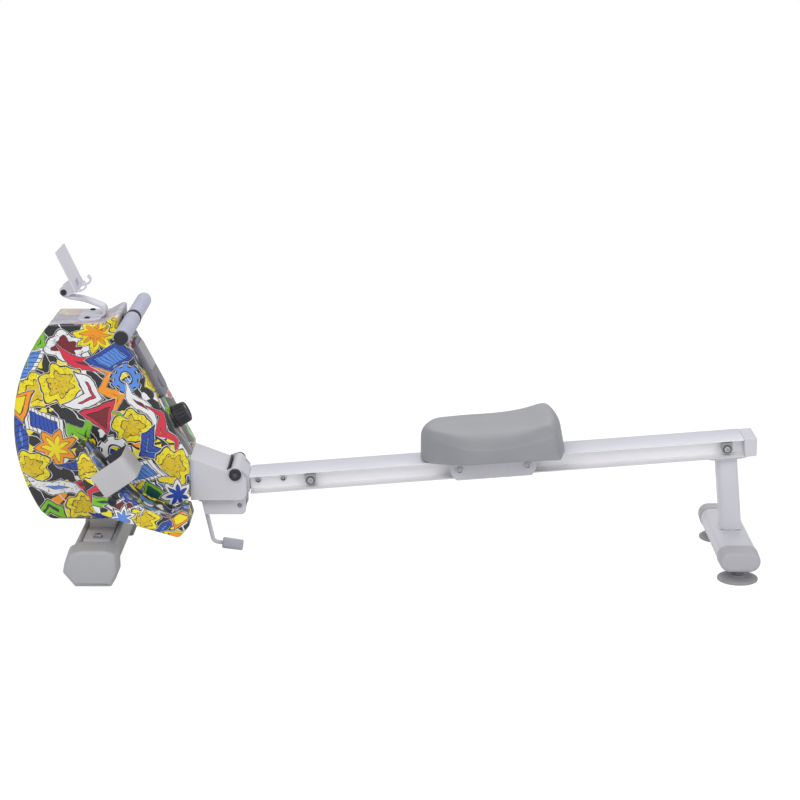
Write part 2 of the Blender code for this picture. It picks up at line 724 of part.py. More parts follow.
def make_belt():
    """Flat belt round both pulleys: two arcs and their outer tangents."""
    gap = 0.0006
    small, big = SMALL_PULLEY_RADIUS + gap, DRIVE_PULLEY_RADIUS + gap
    away = Vector((DRIVE_X - FLYWHEEL_X, DRIVE_Z - FLYWHEEL_Z))
    heading = math.atan2(away.y, away.x)
    lean = math.acos((big - small) / away.length)

    def loop(extra):
        upper = arc(DRIVE_X, DRIVE_Z, big + extra, heading - math.pi + lean, heading + math.pi - lean, 18)
        lower = arc(FLYWHEEL_X, FLYWHEEL_Z, small + extra, heading + math.pi - lean,
                    heading + math.pi + lean, 10)
        return upper + lower

    half = PULLEY_HALF - 0.0016
    belt = prism("drive_belt", loop(BELT_THICK), PULLEY_Y - half, PULLEY_Y + half)
    cut(belt, prism("belt_inside", loop(0.0), PULLEY_Y - 0.02, PULLEY_Y + 0.02))
    finish(belt, "webbing")


def make_brake():
    """Magnet shoe curved round the flywheel rim, on an arm that swings about its pin."""
    inner = FLYWHEEL_RADIUS + MAGNET_GAP
    outer = inner + MAGNET_THICK
    half = FLYWHEEL_HALF + 0.002
    reach = SPINE_HALF + PLATE_THICK + 0.006
    band = (arc(FLYWHEEL_X, FLYWHEEL_Z, outer, BRAKE_FROM, BRAKE_PIVOT_ANGLE, 13)
            + arc(FLYWHEEL_X, FLYWHEEL_Z, inner, BRAKE_TO, BRAKE_FROM, 8))
    lean = arc(FLYWHEEL_X, FLYWHEEL_Z, outer - 0.0045, BRAKE_PIVOT_ANGLE, BRAKE_TO + 0.05, 5)
    shoe = prism("magnet_bracket", band[:14] + lean + band[14:], -half, half)
    x, z = BRAKE_PIVOT
    pin = BRAKE_PIN_RADIUS
    profile = [(0.0, reach), (pin, reach), (pin, half + 0.001), (0.008, half + 0.001),
               (0.008, -half - 0.001), (pin, -half - 0.001), (pin, -reach), (0.0, -reach)]
    join(shoe, turned("brake_pin", profile, (x, 0, z), (0, 1, 0), SMALL_ROUND))
    finish(shoe, "grey_plastic")
    start = on_slope(KNOB_ALONG, -0.026)
    beside = SPINE_HALF + PLATE_THICK + GAP + CABLE_RADIUS
    route = [start, Vector((-0.541, 0.003, 0.330)), Vector((-0.563, 0.015, 0.300)), Vector((-0.593, 0.032, 0.270)),
             Vector((-0.630, beside, 0.252)), Vector((-0.680, beside, 0.246)), Vector((-0.735, beside, 0.240))]
    finish(tube("tension_cable", smooth_route(route, 2), CABLE_RADIUS, 1), "black_plastic")


def smooth_route(points, steps):
    """Catmull-Rom curve through the route's own points."""
    route = []
    for i in range(len(points) - 1):
        a = points[max(i - 1, 0)]
        b, c = points[i], points[i + 1]
        d = points[min(i + 2, len(points) - 1)]
        for k in range(steps):
            t = k / steps
            route.append(0.5 * (2 * b + (c - a) * t + (2 * a - 5 * b + 4 * c - d) * t ** 2
                                + (3 * b - a - 3 * c + d) * t ** 3))
    route.append(points[-1])
    return route


def make_handle():
    bar_end = HANDLE_HALF - HANDLE_CAP_LONG - GAP
    bar = cross_rod("handle_bar", HANDLE_X, HANDLE_Z, -bar_end, bar_end, HANDLE_BAR_RADIUS, 24)
    finish(bar, "silver_paint")
    for side, hand in ((-1, "left"), (1, "right")):
        profile = [(HANDLE_BAR_RADIUS + GAP, bar_end), (GRIP_RADIUS - 0.002, bar_end), (GRIP_RADIUS, bar_end - 0.002),
                   (GRIP_RADIUS, GRIP_INNER_Y + 0.002), (GRIP_RADIUS - 0.002, GRIP_INNER_Y),
                   (HANDLE_BAR_RADIUS + GAP, GRIP_INNER_Y), (HANDLE_BAR_RADIUS + GAP, bar_end)]
        finish(turned("grip_" + hand, profile, (HANDLE_X, 0, HANDLE_Z), (0, side, 0)), "grip_foam")
        top = HANDLE_HALF
        low = bar_end + GAP
        profile = [(0.0, top), (HANDLE_CAP_RADIUS - 0.003, top), (HANDLE_CAP_RADIUS - 0.0008, top - 0.0008),
                   (HANDLE_CAP_RADIUS, top - 0.003), (HANDLE_CAP_RADIUS, low), (0.0, low)]
        finish(turned("handle_cap_" + hand, profile, (HANDLE_X, 0, HANDLE_Z), (0, side, 0)), "black_plastic")
    make_pull_strap()
    make_cradle()


def make_pull_strap():
    """Webbing from the reel over the guide roller, and its loop round the bar."""
    inner = HANDLE_BAR_RADIUS + GAP
    outer = inner + STRAP_THICK
    bar = Vector((HANDLE_X, HANDLE_Z))
    reel = Vector((DRIVE_X, DRIVE_Z))
    guide = Vector((GUIDE_X, GUIDE_Z))
    leave = math.radians(149.4)
    start = reel + Vector((math.cos(leave), math.sin(leave))) * (REEL_RADIUS + GAP + STRAP_THICK / 2)
    over = arc(guide.x, guide.y, GUIDE_RADIUS + 2 * GAP + STRAP_THICK / 2, leave, math.radians(96), 4)
    stop = bar - Vector((outer + GAP, 0.003))
    band = prism("pull_strap", ribbon([start] + over + [stop], STRAP_THICK), -STRAP_HALF, STRAP_HALF)
    finish(band, "webbing")
    loop = prism("strap_loop", arc(bar.x, bar.y, outer, 0, 2 * math.pi, 20)[:-1], -STRAP_HALF, STRAP_HALF)
    cut(loop, cross_rod("bar_way", bar.x, bar.y, -0.05, 0.05, inner, 24))
    finish(loop, "webbing")


def ribbon(path, thickness):
    """Closed outline of an even band along a path in X and Z."""
    left, right = [], []
    for i, here in enumerate(path):
        before = path[max(i - 1, 0)]
        after = path[min(i + 1, len(path) - 1)]
        along = (after - before).normalized()
        side = Vector((-along.y, along.x)) * thickness / 2
        left.append(here + side)
        right.append(here - side)
    return left + right[::-1]


def make_cradle():
    """Moulded shelf in the housing's notch that the handle lies against."""
    face = NOTCH_X + GAP
    top = HANDLE_Z - GRIP_RADIUS - GAP
    seat = GRIP_RADIUS + GAP
    low = SLOPE_TOP_Z + 0.0165
    outline = [Vector((face, HANDLE_Z - 0.004)), Vector((face, low)), Vector((HANDLE_X + 0.004, low)),
               Vector((HANDLE_X + 0.010, low + 0.004)), Vector((HANDLE_X + 0.010, top))]
    outline += arc(HANDLE_X, HANDLE_Z, seat, math.radians(-90), math.radians(-165), 8)
    shelf = prism("handle_cradle", outline, -CRADLE_HALF, CRADLE_HALF)
    cut(shelf, box("strap_gap", (NOTCH_X - 0.01, -GRIP_INNER_Y - 0.002, HANDLE_Z - GRIP_RADIUS),
                   (HANDLE_X + 0.03, GRIP_INNER_Y + 0.002, HANDLE_Z + 0.01)))
    finish(shelf, "grey_plastic")


def rounded_plate(name, long_half, wide_half, corner, tall, along, out):
    """Plate on the sloping face, its long side up the slope."""
    outline = rounded([(-long_half, -wide_half, corner), (long_half, -wide_half, corner),
                       (long_half, wide_half, corner), (-long_half, wide_half, corner)], 4)
    plate = prism(name, outline, 0.0, -tall)
    plate.data.transform(Matrix.Rotation(-math.pi / 2, 4, "X"))
    low = min(v.co.z for v in plate.data.vertices)
    plate.data.transform(slope_matrix(along, out) @ Matrix.Translation((0, 0, -low)))
    outward(plate)
    return plate


def make_console():
    body = rounded_plate("console_body", CONSOLE_LONG / 2, CONSOLE_HALF, CONSOLE_CORNER, CONSOLE_RISE,
                         CONSOLE_ALONG, GAP)
    soften(body, 0.003, 2, 50)
    screen_at = CONSOLE_ALONG + SCREEN_ALONG
    cut(body, rounded_plate("screen_pocket", SCREEN_LONG / 2 + GAP, SCREEN_HALF + GAP, 0.006, 0.02,
                            screen_at, CONSOLE_RISE - 0.003))
    button_at = CONSOLE_ALONG + BUTTON_ALONG
    cut(body, rod("button_well", on_slope(button_at, CONSOLE_RISE - BUTTON_TALL), on_slope(button_at, 0.04),
                  BUTTON_RADIUS + GAP, ROUND))
    finish(body, "grey_plastic")
    screen = rounded_plate("console_screen", SCREEN_LONG / 2, SCREEN_HALF, 0.006, 0.003 + SCREEN_RISE - GAP,
                           screen_at, CONSOLE_RISE - 0.003 + GAP)
    finish(screen, "light_plastic")
    low = CONSOLE_RISE - BUTTON_TALL + 0.0022
    high = CONSOLE_RISE + BUTTON_PROUD
    profile = [(0.0, high), (BUTTON_RADIUS - 0.003, high), (BUTTON_RADIUS, high - 0.002),
               (BUTTON_RADIUS, low), (0.0, low)]
    finish(turned("console_button", profile, on_slope(button_at), SLOPE_OUT), "grey_plastic")


def make_knob():
    """Ribbed tension knob on a shaft through the sloping face."""
    low = GAP
    tall = KNOB_TALL
    wide = KNOB_RADIUS
    profile = [(0.0, tall), (wide - 0.007, tall), (wide - 0.004, tall - 0.0015), (wide - 0.003, tall - 0.004),
               (wide, 0.008), (wide, low), (KNOB_SHAFT_RADIUS, low), (KNOB_SHAFT_RADIUS, -0.020), (0.0, -0.020)]
    knob = turned("tension_knob", profile, on_slope(KNOB_ALONG), SLOPE_OUT, 28)
    frame = slope_matrix(KNOB_ALONG)
    for k in range(KNOB_RIBS):
        angle = 2 * math.pi * (k + 0.3) / KNOB_RIBS
        out = Vector((math.cos(angle), math.sin(angle), 0)) * (wide + 0.0012)
        cut(knob, rod("knob_flute", frame @ (out + Vector((0, 0, 0.009))), frame @ (out + Vector((0, 0, 0.05))),
                      0.0026, 8))
    finish(knob, "black_plastic")


def make_holder():
    """Device holder: base on the housing top, bent arm, and a plate that tilts on the arm's end."""
    low = HOUSING_TOP + GAP
    high = low + HOLDER_BASE_TALL
    base = box("holder_arm", (HOLDER_BASE_FRONT, -HOLDER_BASE_HALF, low),
               (HOLDER_BASE_REAR, HOLDER_BASE_HALF, high))
    soften(base, 0.0015, 1, 50)
    bend = HOLDER_BASE_REAR - 0.005
    path = [Vector((bend - 0.020, high - 0.0010)), Vector((bend - 0.001, high - 0.0008)), Vector((bend + 0.0055, high + 0.003)),
            Vector((bend + 0.0085, high + 0.0085)), Vector((bend + 0.006, high + 0.016)), Vector((bend - 0.0005, high + 0.021)),
            Vector((bend - 0.012, high + 0.0262)),
            Vector((HOLDER_PIVOT_X + 0.048, HOLDER_PIVOT_Z - 0.021)),
            Vector((HOLDER_PIVOT_X + 0.017, HOLDER_PIVOT_Z - 0.0125)),
            Vector((HOLDER_PIVOT_X, HOLDER_PIVOT_Z - 0.0065))]
    arm = prism("arm", ribbon(path, HOLDER_ARM_THICK), -HOLDER_ARM_HALF, HOLDER_ARM_HALF)
    eye = cross_rod("arm_eye", HOLDER_PIVOT_X, HOLDER_PIVOT_Z, -HOLDER_ARM_HALF, HOLDER_ARM_HALF, 0.0095, 24)
    join(base, arm, eye)
    cut(base, cross_rod("eye_bore", HOLDER_PIVOT_X, HOLDER_PIVOT_Z, -0.03, 0.03, 0.003 + GAP, 16))
    finish(base, "light_plastic")
    finish(make_pivot_screw(), "black_plastic")
    make_media_plate()


def make_pivot_screw():
    side = HOLDER_ARM_HALF + 0.0036
    profile = [(0.0, side + 0.005), (0.0055, side + 0.005), (0.0072, side + 0.003), (0.0072, side),
               (0.003, side), (0.003, -side), (0.0072, -side), (0.0072, -side - 0.003),
               (0.0055, -side - 0.005), (0.0, -side - 0.005)]
    return turned("holder_pivot_screw", profile, (HOLDER_PIVOT_X, 0, HOLDER_PIVOT_Z), (0, -1, 0), 12)


def make_media_plate():
    top = Vector((HOLDER_PLATE_TOP_X, HOLDER_PLATE_TOP_Z))
    low = Vector((HOLDER_PLATE_LOW_X, HOLDER_PLATE_LOW_Z))
    up = (top - low).normalized()
    out = Vector((up.y, -up.x))
    half = HOLDER_PLATE_THICK / 2
    outline = rounded([(*(top - out * half), 0.0), (*(low - out * half), 0.0),
                       (*(low + out * half), 0.0), (*(top + out * half), 0.0)])
    plate = prism("media_holder", outline, -HOLDER_PLATE_HALF, HOLDER_PLATE_HALF)
    ledge_path = [low + up * 0.002, low + out * 0.010 - up * 0.002, low + out * 0.020 - up * 0.001,
                  low + out * 0.025 + up * 0.006, low + out * 0.023 + up * 0.016]
    for side in (-1, 1):
        y = side * 0.038
        join(plate, prism("ledge", ribbon(ledge_path, 0.0035), y - 0.010, y + 0.010))
    inner = HOLDER_ARM_HALF + GAP
    lug = inner + 0.003
    pivot = Vector((HOLDER_PIVOT_X, HOLDER_PIVOT_Z))
    cheek = rounded([(pivot.x - 0.0095, pivot.y - 0.0095, 0.009), (pivot.x + 0.012, pivot.y - 0.0085, 0.004),
                     (low.x + 0.0015, low.y + 0.002, 0.001), (*(low + up * 0.030), 0.001),
                     (pivot.x - 0.0095, pivot.y + 0.0095, 0.009)], 4)
    for side in (-1, 1):
        join(plate, prism("cheek", cheek, side * inner, side * lug))
    cut(plate, cross_rod("cheek_bore", pivot.x, pivot.y, -0.04, 0.04, 0.003 + GAP, 16),
        media_slot(low, up))
    finish(plate, "light_plastic")


def media_slot(low, up):
    """Opening in the plate's foot between its two ledges."""
    middle = low + up * 0.016
    slot = box("media_slot", (-0.012, -0.017, -0.008), (0.012, 0.017, 0.008))
    lean = Matrix.Rotation(math.atan2(up.x, up.y), 4, "Y")
    slot.data.transform(Matrix.Translation((middle.x, 0, middle.y)) @ lean)
    return slot


PEDAL_TOP = [(-0.461, 0.176, 0.006), (-0.474, 0.179, 0.004), (-0.500, 0.163, 0.020), (-0.560, 0.188, 0.060),
             (-0.628, 0.238, 0.080), (-0.697, 0.333, 0.006)]
PEDAL_BACK = [(-0.715, 0.332, 0.006), (-0.707, 0.272, 0.030), (-0.673, 0.181, 0.018), (-0.628, 0.163, 0.030),
              (-0.560, 0.142, 0.060), (-0.480, 0.1185, 0.012), (-0.4535, 0.150, 0.012)]


def make_pedals():
    """Footplate with a heel cup and side flanges, open underneath, turning on the cross axle."""
    outer = PEDAL_INNER + PEDAL_WIDE
    pedal = prism("pedal_left", rounded(PEDAL_TOP + PEDAL_BACK, 3), -outer, -PEDAL_INNER)
    soften(pedal, 0.003, 1, 50)
    hollow = rounded([(-0.466, 0.100, 0.0), (-0.466, 0.140, 0.010), (-0.474, 0.158, 0.006), (-0.500, 0.1555, 0.020),
                      (-0.564, 0.181, 0.060), (PEDAL_X - 0.001, PEDAL_Z + 0.024, 0.080),
                      (PEDAL_X - 0.058, PEDAL_Z + 0.102, 0.004), (PEDAL_X - 0.098, PEDAL_Z + 0.082, 0.0),
                      (PEDAL_X - 0.098, 0.100, 0.0)], 3)
    cut(pedal, prism("pedal_hollow", hollow, -outer + PEDAL_WALL, -PEDAL_INNER - PEDAL_WALL))
    join(pedal, cross_rod("pedal_hub", PEDAL_X, PEDAL_Z, -outer + 0.001, -PEDAL_INNER - 0.001, PEDAL_HUB_RADIUS, 16))
    middle = -PEDAL_INNER - PEDAL_WIDE / 2
    rib = rounded([(-0.480, 0.150, 0.0), (-0.500, 0.158, 0.0), (-0.564, 0.184, 0.0), (-0.628, 0.231, 0.0),
                   (-0.636, 0.212, 0.0), (-0.556, 0.158, 0.0)])
    join(pedal, prism("pedal_rib", rib, middle - 0.0015, middle + 0.0015))
    cut(pedal, cross_rod("pedal_bore", PEDAL_X, PEDAL_Z, -outer - 0.01, -PEDAL_INNER + 0.01,
                         PEDAL_AXLE_RADIUS + GAP))
    finish(pedal, "printed_shell")
    mirrored(pedal, "pedal_right")
    make_foot_strap(outer)
    collar = HOUSING_HALF - 0.020
    seat, end = outer + GAP, outer + GAP + PEDAL_CAP_LONG
    cap = PEDAL_CAP_RADIUS
    profile = [(0.0, end), (cap - 0.003, end), (cap, end - 0.004), (cap, seat), (PEDAL_AXLE_RADIUS, seat),
               (PEDAL_AXLE_RADIUS, PEDAL_INNER - GAP),
               (PEDAL_COLLAR_RADIUS, PEDAL_INNER - GAP), (PEDAL_COLLAR_RADIUS, collar), (PEDAL_AXLE_RADIUS, collar),
               (PEDAL_AXLE_RADIUS, -collar), (PEDAL_COLLAR_RADIUS, -collar),
               (PEDAL_COLLAR_RADIUS, GAP - PEDAL_INNER), (PEDAL_AXLE_RADIUS, GAP - PEDAL_INNER),
               (PEDAL_AXLE_RADIUS, -seat), (cap, -seat), (cap, 0.004 - end), (cap - 0.003, -end), (0.0, -end)]
    finish(turned("pedal_axle", profile, (PEDAL_X, 0, PEDAL_Z), (0, 1, 0), SMALL_ROUND), "bright_steel")


STRAP_MIDDLE = Vector((-0.6458, 0.0, 0.2531))
STRAP_LEAN = math.radians(-34)


def make_foot_strap(outer):
    """Moulded band from the outer flange over the foot to the inner flange, with its free lap."""
    thick = FOOT_STRAP_THICK
    near = outer + GAP
    far = PEDAL_INNER - GAP
    root = -0.022
    rise = FOOT_STRAP_RISE
    corner = FOOT_STRAP_CORNER
    outside = rounded([(-near - thick, root, 0.0), (-near - thick, rise, corner),
                       (-far + thick, rise, corner), (-far + thick, root, 0.0)], 6)
    inside = rounded([(-near, root, 0.0), (-near, rise - thick, corner - thick),
                      (-far, rise - thick, corner - thick), (-far, root, 0.0)], 6)
    band = prism("foot_strap_left", outside + inside[::-1], -FOOT_STRAP_WIDE / 2, FOOT_STRAP_WIDE / 2)
    along = Vector((math.sin(STRAP_LEAN), 0, math.cos(STRAP_LEAN)))
    rising = Vector((along.z, 0, -along.x))
    turn = Matrix((Vector((0, 1, 0)), along, rising)).transposed().to_4x4()
    band.data.transform(Matrix.Translation(STRAP_MIDDLE) @ turn)
    outward(band)
    finish(band, "strap_rubber")
    mirrored(band, "foot_strap_right")


def make_rail_bracket():
    """Folded steel bracket over the spine's end: two cheeks, a sloping top and pivot eyes."""
    top_rear = PIVOT_X - 0.024
    outline = rounded([(HOUSING_REAR + GAP, BRACKET_LOW, 0.0), (BRACKET_REAR, BRACKET_LOW, 0.018),
                       (BRACKET_REAR, PIVOT_Z - 0.012, 0.010), (PIVOT_X + 0.004, PIVOT_Z + PIVOT_BARREL_RADIUS, 0.012),
                       (PIVOT_X - 0.010, PIVOT_Z + PIVOT_BARREL_RADIUS, 0.010), (top_rear, 0.2385, 0.004),
                       (HOUSING_REAR + GAP, 0.270, 0.0)], 4)
    bracket = prism("rail_bracket", outline, -BRACKET_HALF, BRACKET_HALF)
    wall = BRACKET_WALL
    floor, web = SPINE_LOW - GAP, PIVOT_X - 0.020
    spine_side = [Vector((HOUSING_REAR - 0.01, floor)), Vector((top_rear, floor)),
                  Vector((top_rear, 0.2350)), Vector((HOUSING_REAR - 0.01, 0.2704))]
    hinge_side = [Vector((web, BRACKET_LOW - 0.01)), Vector((BRACKET_REAR + 0.01, BRACKET_LOW - 0.01)),
                  Vector((BRACKET_REAR + 0.01, 0.26)), Vector((web, 0.26))]
    half = BRACKET_HALF - wall
    cut(bracket, prism("spine_side", spine_side, -half, half), prism("hinge_side", hinge_side, -half, half))
    cut(bracket, cross_rod("pivot_bore", PIVOT_X, PIVOT_Z, -0.1, 0.1, PIVOT_BOLT_RADIUS + GAP))
    finish(bracket, "silver_paint")
    make_pivot()
    make_lock()


def make_pivot():
    side = BRACKET_HALF + GAP
    end, cap = side + PIVOT_CAP_LONG, PIVOT_BARREL_RADIUS
    profile = [(0.0, end), (cap - 0.0025, end), (cap, end - 0.002), (cap, side), (PIVOT_BOLT_RADIUS, side),
               (PIVOT_BOLT_RADIUS, -side), (cap, -side), (cap, 0.002 - end), (cap - 0.0025, -end), (0.0, -end)]
    finish(turned("fold_bolt", profile, (PIVOT_X, 0, PIVOT_Z), (0, 1, 0), 20), "black_plastic")
    face = PIVOT_X - 0.020 + GAP
    outline = rounded([(face, 0.196, 0.0), (face + BUMPER_THICK - 0.002, 0.196, 0.002),
                       (face + BUMPER_THICK - 0.002, 0.240, 0.002), (face, 0.246, 0.001)], 2)
    pad = prism("fold_bumper", outline, -0.060, 0.060)
    cut(pad, cross_rod("barrel_way", PIVOT_X, PIVOT_Z, -0.09, 0.09, PIVOT_BARREL_RADIUS + 0.0005, 24))
    finish(pad, "black_plastic")


def make_lock():
    """Folded box below the bracket with the lock hole, and the bent lever that screws up from below."""
    top = BRACKET_LOW - GAP
    outline = rounded([(LOCK_BOX_FRONT, LOCK_BOX_LOW, 0.004), (LOCK_BOX_REAR, LOCK_BOX_LOW, 0.012),
                       (LOCK_BOX_REAR, top, 0.0), (LOCK_BOX_FRONT - 0.008, top, 0.0)], 4)
    housing = prism("lock_box", outline, -LOCK_BOX_HALF, LOCK_BOX_HALF)
    wall = LOCK_BOX_WALL
    cut(housing, box("lock_inside", (LOCK_BOX_FRONT + wall, -LOCK_BOX_HALF + wall, LOCK_BOX_LOW + wall),
                     (LOCK_BOX_REAR + 0.02, LOCK_BOX_HALF - wall, top - wall)),
        cross_rod("lock_hole", LOCK_HOLE_X, LOCK_HOLE_Z, -0.08, 0.08, LOCK_HOLE_RADIUS))
    axis = (Vector((CRANK_TOP_X, 0, CRANK_TOP_Z)) - Vector((CRANK_BEND_X, 0, CRANK_BEND_Z))).normalized()
    bend = Vector((CRANK_BEND_X, 0, CRANK_BEND_Z))
    nut_low = Vector((CRANK_TOP_X, 0, CRANK_TOP_Z)) - axis * 0.004
    cut(housing, rod("crank_way", bend, bend + axis * 0.2, CRANK_NUT_RADIUS + GAP, 20))
    finish(housing, "silver_paint")
    top_end = nut_low + axis * CRANK_NUT_LONG
    arm_end = Vector((CRANK_ARM_X, 0, CRANK_ARM_Z))
    arm_way = (arm_end - bend).normalized()
    path = [top_end, bend + axis * 0.012, bend + axis * 0.005 + arm_way * 0.0012,
            bend + axis * 0.0012 + arm_way * 0.005, bend + arm_way * 0.012, arm_end]
    lever = tube("lock_crank", path, CRANK_RADIUS, 2)
    flange = rod("crank_flange", nut_low - axis * 0.001, nut_low + axis * 0.0055, CRANK_NUT_RADIUS, 20)
    join(lever, flange)
    finish(lever, "silver_paint")
    tip = arm_end + arm_way * 0.004
    root = tip - arm_way * CRANK_GRIP_LONG
    grip = rod("crank_grip", root, tip, CRANK_GRIP_RADIUS, 14, far_radius=CRANK_GRIP_RADIUS * 0.94)
    soften(grip, 0.002, 1, 50)
    cut(grip, rod("grip_bore", root - arm_way * 0.01, arm_end + arm_way * GAP, CRANK_RADIUS + GAP, 12))
    finish(grip, "grey_plastic")


RAIL_MATRIX = Matrix.Translation(RAIL_FRONT) @ Matrix.Rotation(-RAIL_TILT, 4, "Y")


def on_rail(obj):
    """Moves a piece modelled in the rail's own frame to its place."""
    obj.data.transform(RAIL_MATRIX)
    obj.data.update()
    return obj


def rail_point(along, y=0.0, up=0.0):
    return RAIL_MATRIX @ Vector((along, y, up))


def turned_to_rail(obj):
    """Turns an outline in X and Z so that it runs across Y and Z, swept along X."""
    obj.data.transform(Matrix.Rotation(math.pi / 2, 4, "Z"))
    return obj


def rail_profile(inset=0.0):
    """Half-hollow section: top and low flanges with lips, side channels and a box core."""
    half, web = RAIL_HALF, RAIL_WEB_HALF
    top, low = -RAIL_TOP_FLANGE, -RAIL_TALL + RAIL_LOW_FLANGE
    lip = RAIL_LIP
    right = [(half, 0.0, 0.0015), (half, top - lip, 0.0), (half - 0.002, top - lip, 0.0), (half - 0.004, top, 0.0),
             (web, top - 0.0006, 0.0), (web, low + 0.0004, 0.0), (half - 0.004, low, 0.0), (half - 0.002, low + lip, 0.0),
             (half, low + lip, 0.0), (half, -RAIL_TALL, 0.0015)]
    left = [(-y, z, r) for y, z, r in reversed(right)]
    return rounded(right + left, 2)


def make_rail():
    rail = prism("rail", rail_profile(), 0.0, -RAIL_LONG)
    turned_to_rail(rail)
    hollow = rounded([(RAIL_HOLLOW_HALF, -0.005, 0.0), (RAIL_HOLLOW_HALF, -RAIL_TALL + 0.005, 0.0),
                      (-RAIL_HOLLOW_HALF, -RAIL_TALL + 0.005, 0.0), (-RAIL_HOLLOW_HALF, -0.005, 0.0)])
    core = turned_to_rail(prism("rail_core", hollow, 0.01, -RAIL_LONG - 0.01))
    cut(rail, core)
    for at in (FRONT_STOP_AT, REAR_STOP_AT):
        cut(rail, cross_rod("rail_bolt_way", at, STOP_BOLT_Z, -0.06, 0.06, STOP_BOLT_RADIUS + 0.0006, 10))
    finish(on_rail(rail), "anodised_rail")
    make_rail_cap()
    make_rail_hinge()
    make_rail_stops()


def make_rail_cap():
    start = RAIL_LONG + GAP
    cap = turned_to_rail(prism("rail_end_cap", rounded([(RAIL_HALF, 0.0, 0.004), (RAIL_HALF, -RAIL_TALL, 0.003),
                                                       (-RAIL_HALF, -RAIL_TALL, 0.003), (-RAIL_HALF, 0.0, 0.004)], 3),
                               -start, -start - RAIL_CAP_LONG))
    bm = bmesh.new()
    bm.from_mesh(cap.data)
    for vert in bm.verts:
        if vert.co.x > start + RAIL_CAP_LONG / 2:
            vert.co.x += vert.co.z * math.tan(RAIL_TILT)
    bm.to_mesh(cap.data)
    bm.free()
    soften(cap, 0.003, 2, 50)
    plug = RAIL_HOLLOW_HALF - GAP
    spigot = box("plug", (start - 0.020, -plug, -RAIL_TALL + 0.005 + GAP), (start + 0.005, plug, -0.005 - GAP))
    join(cap, spigot)
    finish(on_rail(cap), "light_plastic")


def make_rail_hinge():
    """Knuckle on the rail's front end: a barrel round the fold bolt and a block bolted into the rail."""
    half = BRACKET_HALF - BRACKET_WALL - 0.001
    knuckle = cross_rod("rail_hinge", PIVOT_X, PIVOT_Z, -half, half, PIVOT_BARREL_RADIUS, 20)
    ears = prism("hinge_ears", rounded([(PIVOT_X, PIVOT_Z - 0.012, 0.0), (PIVOT_X + 0.010, PIVOT_Z - 0.046, 0.006),
                                        (RAIL_FRONT.x + 0.000, PIVOT_Z - 0.052, 0.0),
                                        (RAIL_FRONT.x + 0.000, PIVOT_Z - 0.014, 0.0),
                                        (PIVOT_X + 0.012, PIVOT_Z + 0.006, 0.006), (PIVOT_X, PIVOT_Z + 0.006, 0.0)], 3),
                 -HINGE_WEB_HALF, HINGE_WEB_HALF)
    trim = box("rail_face", (-GAP, -0.08, -0.10), (0.2, 0.08, 0.10))
    on_rail(trim)
    cut(ears, trim)
    plug = RAIL_HOLLOW_HALF - GAP
    spigot = box("spigot", (-0.020, -plug, -RAIL_TALL + 0.005 + GAP), (0.098, plug, -0.005 - GAP))
    on_rail(spigot)
    join(knuckle, ears, spigot)
    cut(knuckle, cross_rod("knuckle_bore", PIVOT_X, PIVOT_Z, -0.09, 0.09, PIVOT_BOLT_RADIUS + GAP))
    finish(knuckle, "silver_paint")


def make_rail_stops():
    """Cross bolts through the rail, each with a D-shaped rubber block in both side channels."""
    for at, name in ((FRONT_STOP_AT, "front_seat_stop"), (REAR_STOP_AT, "rear_seat_stop")):
        reach = RAIL_WEB_HALF + GAP
        seat = reach + STOP_THICK
        stop = cross_rod(name, at, STOP_BOLT_Z, -seat - 0.005, seat + 0.005, STOP_BOLT_RADIUS, 10)
        top = -RAIL_TOP_FLANGE - 0.0009
        low = -RAIL_TALL + RAIL_LOW_FLANGE + 0.0009
        outline = rounded([(at + STOP_RADIUS, top, 0.001), (at + STOP_RADIUS, low, STOP_RADIUS - 0.001),
                           (at - STOP_RADIUS, low, STOP_RADIUS - 0.001), (at - STOP_RADIUS, top, 0.001)], 4)
        for side in (-1, 1):
            join(stop, prism("block", outline, side * reach, side * seat))
            join(stop, cross_rod("head", at, STOP_BOLT_Z, side * (seat - 0.001), side * (seat + 0.005), 0.0072, 8))
        finish(on_rail(stop), "grey_plastic")


